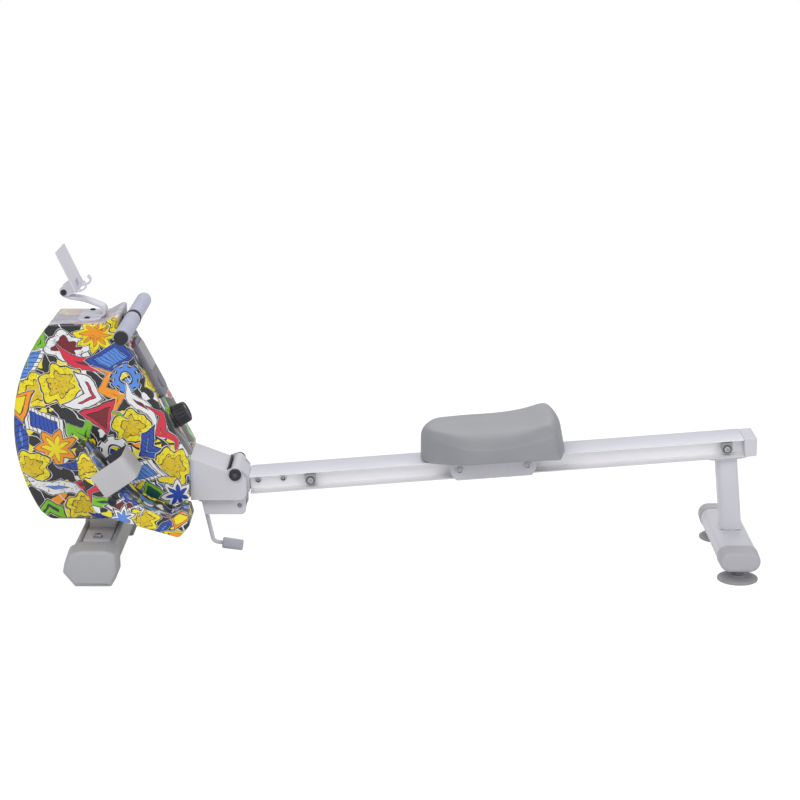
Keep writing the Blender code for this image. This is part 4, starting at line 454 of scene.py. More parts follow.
# %% The printed design
# kind, middle in metres, size, turn in degrees, squeeze, count, fill, core, inner pattern
DESIGN = [
    (slab, -.842, .500, .062, 60, .55, 1, PAPER, SKY, "lines"),
    (blot, -.815, .440, .058, 10, .85, 5, YELLOW, GOLD, "cracks"),
    (wave, -.860, .330, .095, 78, .42, 2, BLUE, SKY, "lines"),
    (blot, -.745, .545, .060, -10, .72, 4, PAPER, WINE, "cracks"),
    (star, -.675, .575, .058, 14, .8, 8, YELLOW, ORANGE, "cracks"),
    (bolt, -.812, .560, .070, 58, .5, 2, LIME, PINE, ""),
    (wave, -.700, .505, .085, -35, .45, 2, RED, WINE, ""),
    (slab, -.640, .520, .050, 30, .7, 1, BLUE, SKY, "lines"),
    (blot, -.762, .455, .062, 30, .9, 6, YELLOW, GOLD, "cracks"),
    (arrow, -.700, .430, .056, -20, .85, 1, PAPER, RED, ""),
    (bolt, -.640, .420, .092, -70, .5, 3, ORANGE, YELLOW, ""),
    (gear, -.608, .470, .040, 0, 1.0, 9, SKY, BLUE, ""),
    (wave, -.575, .405, .070, -60, .5, 2, PAPER, WINE, ""),
    (blot, -.598, .352, .054, 0, .9, 5, YELLOW, GOLD, "cracks"),
    (bolt, -.715, .345, .110, 22, .42, 4, LIME, PINE, ""),
    (shard, -.668, .372, .044, 200, 1.0, 1, RED, WINE, ""),
    (slab, -.805, .360, .060, -24, .60, 1, PAPER, BLUE, "lines"),
    (star, -.780, .300, .054, 0, 1.0, 7, ORANGE, YELLOW, ""),
    (blot, -.840, .250, .056, 20, .9, 5, YELLOW, GOLD, "cracks"),
    (wave, -.705, .275, .080, 10, .5, 2, BLUE, PAPER, "lines"),
    (gear, -.640, .290, .044, 0, 1.0, 8, PAPER, RED, ""),
    (arrow, -.555, .300, .050, 215, .9, 1, BLUE, SKY, "lines"),
    (bolt, -.520, .345, .072, -62, .5, 2, RED, ORANGE, ""),
    (blot, -.505, .255, .058, -20, .95, 6, YELLOW, GOLD, "cracks"),
    (slab, -.585, .240, .056, 15, .6, 1, PAPER, SKY, "lines"),
    (star, -.700, .212, .050, 30, .9, 6, RED, WINE, ""),
    (wave, -.780, .205, .085, -25, .5, 2, PAPER, SKY, "cracks"),
    (bolt, -.630, .195, .085, 8, .45, 3, YELLOW, ORANGE, ""),
    (shard, -.555, .185, .046, 20, 1.0, 1, LIME, PINE, ""),
    (blot, -.720, .158, .048, 0, .8, 5, YELLOW, GOLD, "cracks"),
    (arrow, -.800, .150, .044, 100, .9, 1, LIME, PINE, ""),
    (wave, -.650, .145, .060, 4, .5, 2, BLUE, SKY, "lines"),
    (star, -.495, .185, .044, 10, 1.0, 7, PAPER, BLUE, ""),
    (shard, -.868, .410, .040, 70, 1.0, 1, ORANGE, YELLOW, ""),
    (bolt, -.545, .460, .060, -63, .5, 2, YELLOW, ORANGE, ""),
    (slab, -.690, .625, .050, 10, .5, 1, RED, WINE, ""),
    (wave, -.760, .620, .070, 0, .5, 2, PAPER, SKY, "cracks"),
    (blot, -.610, .610, .050, 0, .8, 5, YELLOW, GOLD, "cracks"),
]
BAND = [
    (blot, -.512, .478, .052, 10, .9, 5, YELLOW, GOLD, "cracks"),
    (wave, -.470, .560, .075, -70, .5, 2, BLUE, SKY, "lines"),
    (star, -.545, .560, .046, 20, 1.0, 7, PAPER, RED, ""),
    (bolt, -.450, .440, .080, 60, .5, 3, LIME, PINE, ""),
    (star, -.905, .458, .052, 12, .9, 7, RED, ORANGE, ""),
    (blot, -.925, .350, .058, 0, .85, 5, YELLOW, GOLD, "cracks"),
    (wave, -.900, .235, .075, 80, .5, 2, LIME, PINE, "lines"),
    (slab, -.868, .135, .056, 30, .6, 1, BLUE, SKY, "lines"),
    (bolt, -.868, .570, .075, 45, .5, 3, PAPER, WINE, ""),
    (blot, -.740, .090, .056, 0, .8, 6, YELLOW, ORANGE, "cracks"),
    (arrow, -.620, .085, .050, 20, .9, 1, SKY, BLUE, "lines"),
    (shard, -.945, .270, .044, 10, 1.0, 1, ORANGE, YELLOW, ""),
]
PEDAL_DESIGN = [
    (blot, -.690, .290, .046, 15, .8, 5, YELLOW, GOLD, "cracks"),
    (wave, -.650, .205, .060, -30, .5, 2, LIME, PINE, ""),
    (slab, -.600, .200, .040, 25, .6, 1, PAPER, WINE, "lines"),
    (blot, -.560, .165, .044, 0, .8, 6, YELLOW, GOLD, "cracks"),
    (bolt, -.660, .250, .060, 60, .5, 2, RED, ORANGE, ""),
    (star, -.610, .165, .034, 0, 1.0, 7, PAPER, SKY, ""),
    (wave, -.515, .145, .048, 15, .5, 2, BLUE, SKY, "lines"),
    (shard, -.480, .165, .034, 160, 1.0, 1, ORANGE, YELLOW, ""),
    (gear, -.585, .230, .034, 0, 1.0, 8, BLUE, PAPER, ""),
    (bolt, -.530, .195, .050, 20, .5, 2, PAPER, RED, ""),
    (blot, -.640, .310, .040, 0, .8, 5, PAPER, SKY, "cracks"),
    (slab, -.480, .120, .034, 0, .6, 1, YELLOW, ORANGE, ""),
]
print(len(DESIGN), "printed shapes on a side,", len(BAND), "on the rim,", len(PEDAL_DESIGN), "on a pedal")

# %% The housing's outline, and the shapes that cross it
HOUSING_REAR, HOUSING_LOW, HOUSING_TOP, HOUSING_HALF = -0.466, 0.1245, 0.600, 0.090
BELLY_X, BELLY_Z, BELLY_RADIUS = -0.484, 0.345, 0.393
SLOPE_LOW, SLOPE_HIGH = Vector((HOUSING_REAR, 0.0, 0.276)), Vector((-0.605, 0.0, 0.552))
SLOPE_UP = (SLOPE_HIGH - SLOPE_LOW).normalized()
SLOPE_OUT = Vector((SLOPE_UP.z, 0.0, -SLOPE_UP.x))
TURNED_EDGE = 0.010


def near_the_rim(shape):
    """Whether a shape of the side comes near the housing's edge, where the film turns over it."""
    x, z, size = shape[1:4]
    to_slope = SLOPE_OUT.dot(SLOPE_LOW - Vector((x, 0.0, z)))
    to_belly = BELLY_RADIUS - math.hypot(x - BELLY_X, z - BELLY_Z)
    return min(to_slope, to_belly, HOUSING_TOP - z, z - HOUSING_LOW) < size + TURNED_EDGE


turned_over = [shape for shape in DESIGN if near_the_rim(shape)] + BAND
print(len(turned_over), "shapes on the band round the housing")

# %% The film and its paint
CORE = 0.36
HALO, OUTLINE, CORE_LINE = 0.0014, 0.0035, 0.0012
WOBBLE, CELLS_PER_METRE, CELL_GAP = 0.014, 36.0, 0.085
SCRIBBLE_APART, SCRIBBLE_LINE, CRACK_LINE = 0.019, 0.0008, 0.0055
HATCH_APART, HATCH_LINE = 0.085, 0.016


def paint(where, design):
    """The print's colour at a place given in metres across the film."""
    wobble = where.node("TexNoise", pick=1, Vector=where, Scale=30.0, Detail=2.0)
    p = where + (wobble - 0.5) * WOBBLE
    gap = p.node("TexVoronoi", {"feature": "DISTANCE_TO_EDGE"}, Vector=p, Scale=CELLS_PER_METRE)
    cell = p.node("TexVoronoi", pick=1, Vector=p, Scale=CELLS_PER_METRE)
    pick = cell.part("X")
    film = (pick > 0.66).blend(INK, (pick > 0.83).blend(YELLOW, PAPER))
    film = (pick > 0.90).blend(film, (pick > 0.95).blend(ORANGE, SKY))
    film = (gap < CELL_GAP).blend(film, INK)
    scribble = (p.mapped(turn=(0, 0, 0.7)).part("X") + p.noise(9.0) * 0.09).fold(SCRIBBLE_APART)
    film = (scribble < SCRIBBLE_LINE).blend(film, PAPER)
    cracks = abs(p.noise(30.0, 3.0, 0.75) - 0.5) < CRACK_LINE
    for kind, x, z, size, turn, squeeze, count, fill, core, pattern in design:
        q = p.mapped((x, z, 0), (0, 0, math.radians(turn)), (size, size * squeeze, 1))
        inside = kind(q, count)
        film = (inside < HALO / size).blend(film, PAPER)
        film = (inside < 0.0).blend(film, INK)
        tone = (inside < -CORE).blend(fill, core)
        tone = (abs(inside + CORE) < CORE_LINE / size).blend(tone, INK)
        if pattern == "lines":
            tone = ((q.part("X") + q.part("Y") * 0.3).fold(HATCH_APART) < HATCH_LINE).blend(tone, INK)
        if pattern == "cracks":
            tone = cracks.blend(tone, INK)
        film = (inside < -OUTLINE / size).blend(film, tone)
    return film


def printed(name, design, glare=0.0):
    """Glossy printed film; glare pales it on the housing's flat top, which gets the most light."""
    where, surface = new_finish(name)
    film = paint(where.node("UVMap", {"uv_map": "film"}), design)
    if glare:
        on_top = where.part("Z").ramp(HOUSING_TOP - 0.0035, HOUSING_TOP - 0.0002)
        film = (on_top * glare).blend(film, shade(.82, .80, .845))
    fine = where.noise(600.0, 2.0)
    surface(Base_Color=film, Roughness=fine.ramp(0.3, 0.7, .30, .38), Coat_Weight=.35, Coat_Roughness=.12,
            Normal=fine.bump(.02))


printed("printed_shell", DESIGN)
printed("printed_band", turned_over, glare=0.66)
printed("printed_pedal", PEDAL_DESIGN)
print("finishes", len(finishes))

# %% [markdown]
# ## Ways to build a piece
# The frame's meshes are light, so that they compute fast. Where a rounded edge
# or a thin part shows, the piece is modelled again at the same place with more
# points. Most are lofts: rings of points joined by quads, closed at both ends.

# %% Outlines and paths
SIDES = ((-1, "left"), (1, "right"))


def rounded(corners, steps=8):
    """Points of a closed outline whose corners (x, z, radius) are replaced by arcs."""
    points = []
    for i, (x, z, radius) in enumerate(corners):
        here = Vector((x, z))
        back = (Vector(corners[i - 1][:2]) - here).normalized()
        onward = (Vector(corners[(i + 1) % len(corners)][:2]) - here).normalized()
        if radius == 0:
            points.append(here)
            continue
        half = back.angle(onward) / 2
        middle = here + (back + onward).normalized() * radius / math.sin(half)
        first = here + back * radius / math.tan(half) - middle
        sweep = first.angle_signed(here + onward * radius / math.tan(half) - middle)
        points += [middle + Matrix.Rotation(-sweep * k / steps, 2) @ first for k in range(steps + 1)]
    area = sum(a.x * b.y - b.x * a.y for a, b in zip(points, points[1:] + points[:1]))
    return points if area > 0 else points[::-1]


def arc(x, z, radius, start, end, steps):
    """Points of an arc round (x, z), its angles in degrees."""
    angles = [math.radians(start + (end - start) * k / steps) for k in range(steps + 1)]
    return [Vector((x + radius * math.cos(a), z + radius * math.sin(a))) for a in angles]


def inset(outline, depth):
    """The outline moved inwards by depth at every point."""
    moved = []
    for i, here in enumerate(outline):
        a = (here - outline[i - 1]).normalized()
        b = (outline[(i + 1) % len(outline)] - here).normalized()
        side = Vector((-a.y - b.y, a.x + b.x)).normalized()
        moved.append(here + side * depth / max(0.4, side.dot(Vector((-a.y, a.x)))))
    return moved


def open_path(corners, steps):
    """Rounded corners as a path that runs from the first corner to the last."""
    first, last = Vector(corners[0][:2]), Vector(corners[-1][:2])
    loop = rounded(corners, steps)
    start = min(range(len(loop)), key=lambda i: (loop[i] - first).length)
    path = loop[start:] + loop[:start]
    return path if (path[-1] - last).length < (path[1] - last).length else [path[0]] + path[:0:-1]


def refined(path, step):
    """The same path, its stretches divided evenly into pieces of about one step."""
    dense = []
    for a, b in zip(path, path[1:]):
        count = max(1, round((b - a).length / step))
        dense += [a.lerp(b, k / count) for k in range(count)]
    return dense + [path[-1]]


def heading(path, i):
    """The way that a path runs at its point i."""
    return (path[min(i + 1, len(path) - 1)] - path[max(i - 1, 0)]).normalized()


print("a full turn in eight steps has", len(arc(0, 0, 1, 0, 360, 8)), "points")

# %% Rings, and the faces between them
def lofted(bm, rings, closed=True, material=0):
    """Joins rings of points in order, and closes the first and the last."""
    made = [[bm.verts.new(p) for p in ring] for ring in rings]
    faces = []
    for low, high in zip(made, made[1:]):
        for i in range(len(low)):
            faces.append(bm.faces.new((low[i - 1], low[i], high[i], high[i - 1])))
    if closed:
        faces += [bm.faces.new(made[0]), bm.faces.new(made[-1][::-1])]
    for face in faces:
        face.material_index = material
    return made


def slab_rings(outline, low, high, low_rim, high_rim, steps=5):
    """Rings across a flat piece from low to high, each rim rounded by its own radius."""
    rings = []
    for end, sign, rim in ((low, 1, low_rim), (high, -1, high_rim)):
        side = []
        for k in range(steps + 1 if rim else 1):
            angle = math.radians(90) * k / steps
            depth = rim * (1 - math.sin(angle)) if rim else 0.0
            at = end + sign * rim * (1 - math.cos(angle))
            side.append([(p, at) for p in inset(outline, depth)])
        rings += side if sign > 0 else side[::-1]
    return rings


def across(outline, low, high, low_rim=0.0, high_rim=0.0, steps=5):
    """A slab whose outline lies in X and Z and whose thickness runs along Y."""
    return [[Vector((p.x, at, p.y)) for p, at in ring]
            for ring in slab_rings(outline, low, high, low_rim, high_rim, steps)]


def lying(outline, low, high, low_rim=0.0, high_rim=0.0, steps=5):
    """A slab whose outline lies in X and Y and whose thickness runs along Z."""
    return [[Vector((p.x, p.y, at)) for p, at in ring]
            for ring in slab_rings(outline, low, high, low_rim, high_rim, steps)]


def bar_of(low, high):
    """Rings of a box."""
    corners = [(low[0], low[2]), (high[0], low[2]), (high[0], high[2]), (low[0], high[2])]
    return across([Vector(corner) for corner in corners], low[1], high[1])


def placed(rings, matrix):
    """The rings, moved and turned by a matrix."""
    return [[matrix @ p for p in ring] for ring in rings]


def swept(path, section):
    """Rings along a path in X and Z, from a section of (Y, outward) places."""
    rings = []
    for i, p in enumerate(path):
        on = heading(path, i)
        out = Vector((-on.y, 0.0, on.x))
        rings.append([Vector((p.x, y, p.y)) + out * t for y, t in section])
    return rings


def spun(profile, start, axis, sides=40, shape=None):
    """Rings of a turned piece: profile holds (radius, height) from start along axis."""
    turn = Vector(axis).to_track_quat("Z", "Y").to_matrix()
    rings = []
    for radius, height, *six in profile:
        ring = []
        for k in range(sides):
            angle = 2 * math.pi * k / sides
            reach = radius
            if six:
                reach /= math.cos((angle + math.pi / 6) % (math.pi / 3) - math.pi / 6)
            if shape:
                reach = shape(reach, height, angle)
            spoke = Vector((reach * math.cos(angle), reach * math.sin(angle), height))
            ring.append(Vector(start) + turn @ spoke)
        rings.append(ring)
    return rings


def solid(*lofts):
    """A bmesh of closed lofts, one from each list of rings."""
    bm = bmesh.new()
    for rings in lofts:
        lofted(bm, rings)
    return bm


print("a bar is", len(bar_of((0, 0, 0), (1, 1, 1))), "rings of four points")

# %% Objects, pieces and cuts
def smooth_over(mesh, sharp):
    """Shades a mesh smooth, but for edges that turn by more than sharp degrees."""
    mesh.shade_smooth()
    mesh.set_sharp_from_angle(angle=math.radians(sharp))


def made_object(name, bm, keys=(), sharp=35):
    """Turns a bmesh into an object, its faces outward, smooth and dressed."""
    bmesh.ops.recalc_face_normals(bm, faces=bm.faces)
    mesh = bpy.data.meshes.new(name)
    bm.to_mesh(mesh)
    bm.free()
    obj = bpy.data.objects.new(name, mesh)
    bpy.context.scene.collection.objects.link(obj)
    for key in ([keys] if isinstance(keys, str) else keys):
        mesh.materials.append(finishes[key])
    smooth_over(mesh, sharp)
    return obj


def piece(name, bm, keys, body, replaced=(), sharp=35):
    """A piece of the machine: an object that rides its body and may replace pieces of the frame."""
    obj = made_object(name, bm, keys, sharp)
    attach(obj, body)
    if replaced:
        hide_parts(*replaced)
    return obj


def applied(obj):
    """Turns what an object's modifiers make of it into its own mesh."""
    whole = obj.evaluated_get(bpy.context.evaluated_depsgraph_get())
    mesh = bpy.data.meshes.new_from_object(whole)
    obj.modifiers.clear()
    bare, obj.data = obj.data, mesh
    bpy.data.meshes.remove(bare)


def carved(obj, *cutters, sharp=35):
    """Cuts rings lofted as closed solids out of a piece."""
    tools = [made_object("cutter", solid(rings)) for rings in cutters]
    for tool in tools:
        cut = obj.modifiers.new("cut", "BOOLEAN")
        cut.object = tool
        cut.solver = "EXACT"
    applied(obj)
    for tool in tools:
        bpy.data.objects.remove(tool)
    smooth_over(obj.data, sharp)


print("ways to build are ready")

# %% [markdown]
# ## Housing shells
# The real housing is two moulded shells that meet on the middle plane, each with
# a rounded rim. Here each is an outline swept across, its rim a quarter circle,
# with a three millimetre wall grown inwards. A small round on the inner edge
# draws the seam. The film lies flat on the side and folds over the rim. It is the
# other way up on the right shell, so that the two don't mirror each other.

# %% The housing's outline and its film
GAP, WALL, RIM = 0.0003, 0.003, 0.0075
FILM_HEIGHT = 0.73
KNOB_AT = 0.0872
PEDAL_AXLE = Vector((-0.632, 0.0, 0.208))
ON_SLOPE = Matrix((SLOPE_UP, SLOPE_OUT.cross(SLOPE_UP), SLOPE_OUT)).transposed().to_4x4()


def slope_frame(along):
    """X up the slope, Y across it, Z out of it."""
    return Matrix.Translation(SLOPE_LOW + SLOPE_UP * along) @ ON_SLOPE


def belly(z):
    """Where the round front lies at a height."""
    return BELLY_X - math.sqrt(BELLY_RADIUS ** 2 - (z - BELLY_Z) ** 2)


def housing_outline():
    """The housing's side: its belly is one arc, and each other corner has its own radius."""
    top = 180 - math.degrees(math.asin((HOUSING_TOP - 0.012 - BELLY_Z) / BELLY_RADIUS))
    low = 180 + math.degrees(math.asin((BELLY_Z - HOUSING_LOW - 0.020) / BELLY_RADIUS))
    lip = HOUSING_TOP + 0.016
    corners = [(HOUSING_REAR, HOUSING_LOW + 0.0425, 0.022), (HOUSING_REAR, SLOPE_LOW.z, 0.014),
               (SLOPE_HIGH.x, SLOPE_HIGH.z, 0.009), (-0.623, 0.564, 0.004), (-0.623, lip, 0.006),
               (-0.634, lip, 0.004), (-0.664, HOUSING_TOP, 0.012), (belly(HOUSING_TOP), HOUSING_TOP, 0.010)]
    corners += [(p.x, p.y, 0) for p in arc(BELLY_X, BELLY_Z, BELLY_RADIUS, top, low, 56)[1:]]
    corners += [(belly(HOUSING_LOW) + 0.010, HOUSING_LOW, 0.030), (HOUSING_REAR - 0.200, HOUSING_LOW, 0.150)]
    return rounded(corners)


def unfold(obj, edge, turned=False):
    """Lays the film flat on a piece's side and down over its rim, or the other way up."""
    mesh = obj.data
    layer = mesh.uv_layers.get("film") or mesh.uv_layers.new(name="film")
    for face in mesh.polygons:
        over = Vector((face.normal.x, face.normal.z))
        over = over.normalized() if abs(face.normal.y) < 0.97 and over.length > 0.01 else Vector((0, 0))
        for corner in face.loop_indices:
            co = mesh.vertices[mesh.loops[corner].vertex_index].co
            down = max(0.0, edge - abs(co.y))
            along, up = co.x + over.x * down, co.z + over.y * down
            layer.data[corner].uv = (along, FILM_HEIGHT - up if turned else up)


print("the housing's outline has", len(housing_outline()), "points")

# %% Two shells with their openings
mast_way = bar_of((-0.760, -0.036, 0.09), (-0.645, 0.036, 0.16))
spine_way = bar_of((-0.50, -0.034, 0.166), (-0.44, 0.034, 0.234))
axle_way = spun([(0.012, -0.12), (0.012, 0.12)], PEDAL_AXLE, (0, 1, 0))
strap_way = bar_of((-0.635, -0.0125, 0.583), (-0.611, 0.0125, 0.601))
knob_way = spun([(0.0043, -0.02), (0.0043, 0.02)], SLOPE_LOW + SLOPE_UP * KNOB_AT, SLOPE_OUT, 24)
for side, hand in SIDES:
    outline = housing_outline()
    bm = bmesh.new()
    walls = lofted(bm, across(outline, -HOUSING_HALF, -GAP / 2, RIM, 0.0008, 6), closed=False)
    bm.faces.new(walls[0])
    core = across(inset(outline, WALL), WALL - HOUSING_HALF, -GAP / 2, RIM - WALL, 0.0, 6)
    inside = lofted(bm, core, closed=False)
    bm.faces.new(inside[0])
    for i in range(len(outline)):
        bm.faces.new((walls[-1][i - 1], walls[-1][i], inside[-1][i], inside[-1][i - 1]))
    if side > 0:
        bmesh.ops.scale(bm, vec=(1, -1, 1), verts=bm.verts)
    shell = piece("housing_shell_" + hand, bm, ("printed_shell", "printed_band"), "frame",
                  ("housing_" + hand,))
    carved(shell, mast_way, spine_way, axle_way, strap_way, knob_way)
    unfold(shell, HOUSING_HALF, side > 0)
    for face in shell.data.polygons:
        face.material_index = 1 if abs(face.normal.y) < 0.5 else 0
    print(shell.name, len(shell.data.polygons), "faces")

# %% [markdown]
# ## Pedals and foot straps
# A pedal is one moulding: a foot plate that curves up from a heel cup, with a
# low flange down each side, hollow underneath and turning on the cross axle. The
# strap over the foot is a moulded band, pale outside and painted dark on its inner
# side, as shade inside the loop. It follows one path round the foot, so it is a
# loft of one section.

# %% Pedals
PEDAL_OUTER, PEDAL_INNER = 0.215, 0.105
PEDAL_TOP = [(-0.461, 0.176, 0.006), (-0.474, 0.179, 0.004), (-0.500, 0.163, 0.020), (-0.560, 0.188, 0.060),
             (-0.628, 0.238, 0.080), (-0.697, 0.333, 0.006)]
PEDAL_BACK = [(-0.715, 0.332, 0.006), (-0.707, 0.272, 0.030), (-0.673, 0.181, 0.018), (-0.628, 0.163, 0.030),
              (-0.560, 0.142, 0.060), (-0.480, 0.1185, 0.012), (-0.4535, 0.150, 0.012)]
HOLLOW = [(-0.466, 0.100, 0.0), (-0.466, 0.140, 0.010), (-0.474, 0.155, 0.006), (-0.500, 0.1535, 0.020),
          (-0.564, 0.178, 0.060), (-0.635, 0.230, 0.080), (-0.692, 0.308, 0.004), (-0.730, 0.290, 0.0),
          (-0.730, 0.100, 0.0)]
RECESS = [(-0.478, 0.200, 0.0), (-0.478, 0.1735, 0.003), (-0.500, 0.1595, 0.016), (-0.560, 0.1845, 0.060),
          (-0.6265, 0.2345, 0.080), (-0.692, 0.326, 0.003), (-0.660, 0.350, 0.0)]
for side, hand in SIDES:
    block = across(rounded(PEDAL_TOP + PEDAL_BACK), -PEDAL_OUTER, -PEDAL_INNER, 0.004, 0.004, 4)
    pedal = piece("pedal_moulding_" + hand, solid(block), "printed_pedal", "pedal_" + hand,
                  ("pedal_" + hand,))
    hollow = across(rounded(HOLLOW), 0.004 - PEDAL_OUTER, -0.004 - PEDAL_INNER)
    recess = across(rounded(RECESS), 0.0045 - PEDAL_OUTER, -0.0045 - PEDAL_INNER, 0.0015, 0.0015, 3)
    bore = spun([(0.0084, -0.24), (0.0084, -0.09)], PEDAL_AXLE, (0, 1, 0))
    carved(pedal, hollow, recess, bore)
    if side > 0:
        pedal.data.transform(Matrix.Scale(-1, 4, (0, 1, 0)))
        pedal.data.flip_normals()
    unfold(pedal, PEDAL_OUTER)
print("each pedal has", len(pedal.data.polygons), "faces")

# %% Pedal axle
COLLAR = [(0.0104, 0.1045), (0.0104, 0.088)]
BAR = [(0.0079, -0.001), (0.0079, 0.2155)]
AXLE_CAP = [(0.0104, 0.2153), (0.0104, 0.2180), (0.0098, 0.2200), (0.0080, 0.2212), (0.0045, 0.2215),
            (0.0038, 0.2205), (0.0036, 0.2195)]
bars = [spun(profile, PEDAL_AXLE, (0, side, 0)) for side, hand in SIDES for profile in (COLLAR, BAR)]
piece("pedal_axle_bar", solid(*bars), "bright_steel", "frame", ("pedal_axle",))
caps = [spun(AXLE_CAP, PEDAL_AXLE, (0, side, 0)) for side, hand in SIDES]
piece("pedal_axle_caps", solid(*caps), "black_plastic", "frame")
print("pedal axle is", 2 * BAR[-1][1], "m long")

# %% Foot straps
STRAP_NEAR, STRAP_FAR, STRAP_RISE, STRAP_ROOT = 0.2167, 0.1033, 0.0656, -0.021
STRAP_WIDE, STRAP_THICK, STRAP_EDGE = 0.062, 0.0028, 0.0012
LEAN = math.radians(-34)
ALONG = Vector((math.sin(LEAN), 0, math.cos(LEAN)))
RISING = Vector((ALONG.z, 0, -ALONG.x))


def band_section(wide, thick, edge):
    """A rectangle with round corners, its outer side first and its inner side after."""
    half, deep = wide / 2 - edge, thick / 2 - edge
    corners = ((half, deep, 0), (-half, deep, 90), (-half, -deep, 180), (half, -deep, 270))
    return [p for u, v, start in corners for p in arc(u, v, edge, start, start + 90, 4)]


path = refined(open_path([(-STRAP_NEAR, STRAP_ROOT, 0), (-STRAP_NEAR, STRAP_RISE, 0.0166),
                          (-STRAP_FAR, STRAP_RISE, 0.0166), (-STRAP_FAR, STRAP_ROOT, 0)], 14), 0.008)
section = band_section(STRAP_WIDE, STRAP_THICK, STRAP_EDGE)
INNER_SIDE = range(len(section) // 2, len(section))
rings = []
for i, p in enumerate(path):
    way = heading(path, i)
    middle = Vector((-0.6458, p.x, 0.2531)) + RISING * p.y
    out = Vector((0, -way.y, 0)) + RISING * way.x
    rings.append([middle + ALONG * s.x + out * s.y for s in section])
for side, hand in SIDES:
    bm = bmesh.new()
    made = lofted(bm, rings)
    # Painted shade: the band's inner side takes the dark strap_inside finish.
    for ring, onward in zip(made, made[1:]):
        for i in INNER_SIDE:
            bm.faces.get((ring[i - 1], ring[i], onward[i], onward[i - 1])).material_index = 1
    if side > 0:
        bmesh.ops.scale(bm, vec=(1, -1, 1), verts=bm.verts)
    piece("foot_strap_band_" + hand, bm, ("strap_rubber", "strap_inside"), "pedal_" + hand,
          ("foot_strap_" + hand,), 60)
print("strap points", len(path))

# %% [markdown]
# ## Handle
# A steel tube with a foam grip pushed on from each end, a moulded end cap, and
# the webbing sewn round it in the middle. All are turned shapes.

# %% Handle, grips, caps and the strap's loop
HANDLE = Vector((-0.599, 0.0, 0.595))
TUBE = [(0.0124, -0.2136), (0.0124, 0.2136)]
GRIP = [(0.0129, 0.0120), (0.0160, 0.0120), (0.0176, 0.0127), (0.0184, 0.0142)]
GRIP += [(0.0185, 0.0165 + 0.0162 * k) for k in range(12)]
GRIP += [(0.0184, 0.2115), (0.0177, 0.2130), (0.0160, 0.2137), (0.0129, 0.2137)]
GRIP_CAP = [(0.0165, 0.2140), (0.0165, 0.2205), (0.0161, 0.2222), (0.0150, 0.2233), (0.0132, 0.2238),
            (0.0100, 0.2239), (0.0096, 0.2234), (0.0030, 0.2233)]
LOOP = [(0.0130, -0.0108), (0.0176, -0.0112), (0.0184, -0.0102), (0.0184, 0.0102), (0.0176, 0.0112),
        (0.0130, 0.0108)]
piece("handle_tube", solid(spun(TUBE, HANDLE, (0, 1, 0))), "silver_paint", "handle", ("handle_bar",))
for side, hand in SIDES:
    grip, cap = (solid(spun(profile, HANDLE, (0, side, 0), 48)) for profile in (GRIP, GRIP_CAP))
    piece("foam_grip_" + hand, grip, "grip_foam", "handle", ("grip_" + hand,), 50)
    piece("grip_cap_" + hand, cap, "black_plastic", "handle", ("handle_cap_" + hand,), 50)
piece("webbing_loop", solid(spun(LOOP, HANDLE, (0, 1, 0), 48)), "webbing", "handle", ("strap_loop",),
      60)
print("handle is", round(2 * GRIP_CAP[5][1], 3), "m wide over its caps")

# %% [markdown]
# ## Console and tension knob
# The console is a rounded plate on the slope with a raised screen and a D-shaped
# button in a well. The knob is turned, with its flutes pressed into its side.

# %% Console, screen and button
CONSOLE_AT, SCREEN_AT, BUTTON_AT = 0.2227, 0.2227 + 0.0295, 0.1807


def slope_plate(long, wide, corner, low, high, along, rim):
    """Rings of a rounded plate lying on the slope; long and wide are half sizes."""
    corners = [(-long, -wide, corner), (long, -wide, corner), (long, wide, corner), (-long, wide, corner)]
    return placed(lying(rounded(corners, 10), low, high, 0.0, rim, 4), slope_frame(along))


def d_shape(radius, flat):
    """A circle cut off straight on the side towards the screen."""
    open_by = math.degrees(math.acos(flat / radius))
    return arc(0, 0, radius, open_by, 360 - open_by, 36)


plate = solid(slope_plate(0.076, 0.050, 0.030, GAP, 0.0103, CONSOLE_AT, 0.0035))
console = piece("console_bezel", plate, "bezel_plastic", "frame", ("console_body",))
groove = slope_plate(0.0360, 0.0390, 0.0070, 0.0070, 0.02, SCREEN_AT, 0)
well = placed(lying(d_shape(0.0160, 0.0105), 0.0032, 0.03), slope_frame(BUTTON_AT))
carved(console, groove, well)
glass = solid(slope_plate(0.0350, 0.0380, 0.0065, 0.0073, 0.0116, SCREEN_AT, 0.0012))
piece("console_glass", glass, "screen_glass", "frame", ("console_screen",))
key = placed(lying(d_shape(0.0156, 0.0100), 0.0055, 0.0131, 0.0, 0.0018, 4), slope_frame(BUTTON_AT))
piece("console_key", solid(key), "bezel_plastic", "button", ("console_button",))
print("console has", len(console.data.polygons), "faces")

# %% Tension knob
FLUTES, FLUTE_DEEP = 12, 0.0017
KNOB = [(0.0040, -0.019), (0.0040, GAP), (0.0262, GAP), (0.0277, 0.0012), (0.0279, 0.0030), (0.0279, 0.0076),
        (0.0268, 0.0090), (0.0264, 0.0120), (0.0256, 0.0250), (0.0251, 0.0295), (0.0242, 0.0320),
        (0.0222, 0.0335), (0.0196, 0.0338), (0.0188, 0.0330), (0.0184, 0.0322), (0.0050, 0.0320)]
POINTER = [(0.0070, -0.0012, 0.0003), (0.0172, -0.0012, 0.0003), (0.0172, 0.0012, 0.0003),
           (0.0070, 0.0012, 0.0003)]


def fluted(reach, height, angle):
    """Presses the flutes in above the knob's skirt, and leaves its face as it is."""
    press = min(1.0, max(0.0, (height - 0.008) / 0.004)) if reach > 0.021 else 0.0
    return reach - FLUTE_DEEP * press * max(0.0, math.cos(FLUTES * angle)) ** 3


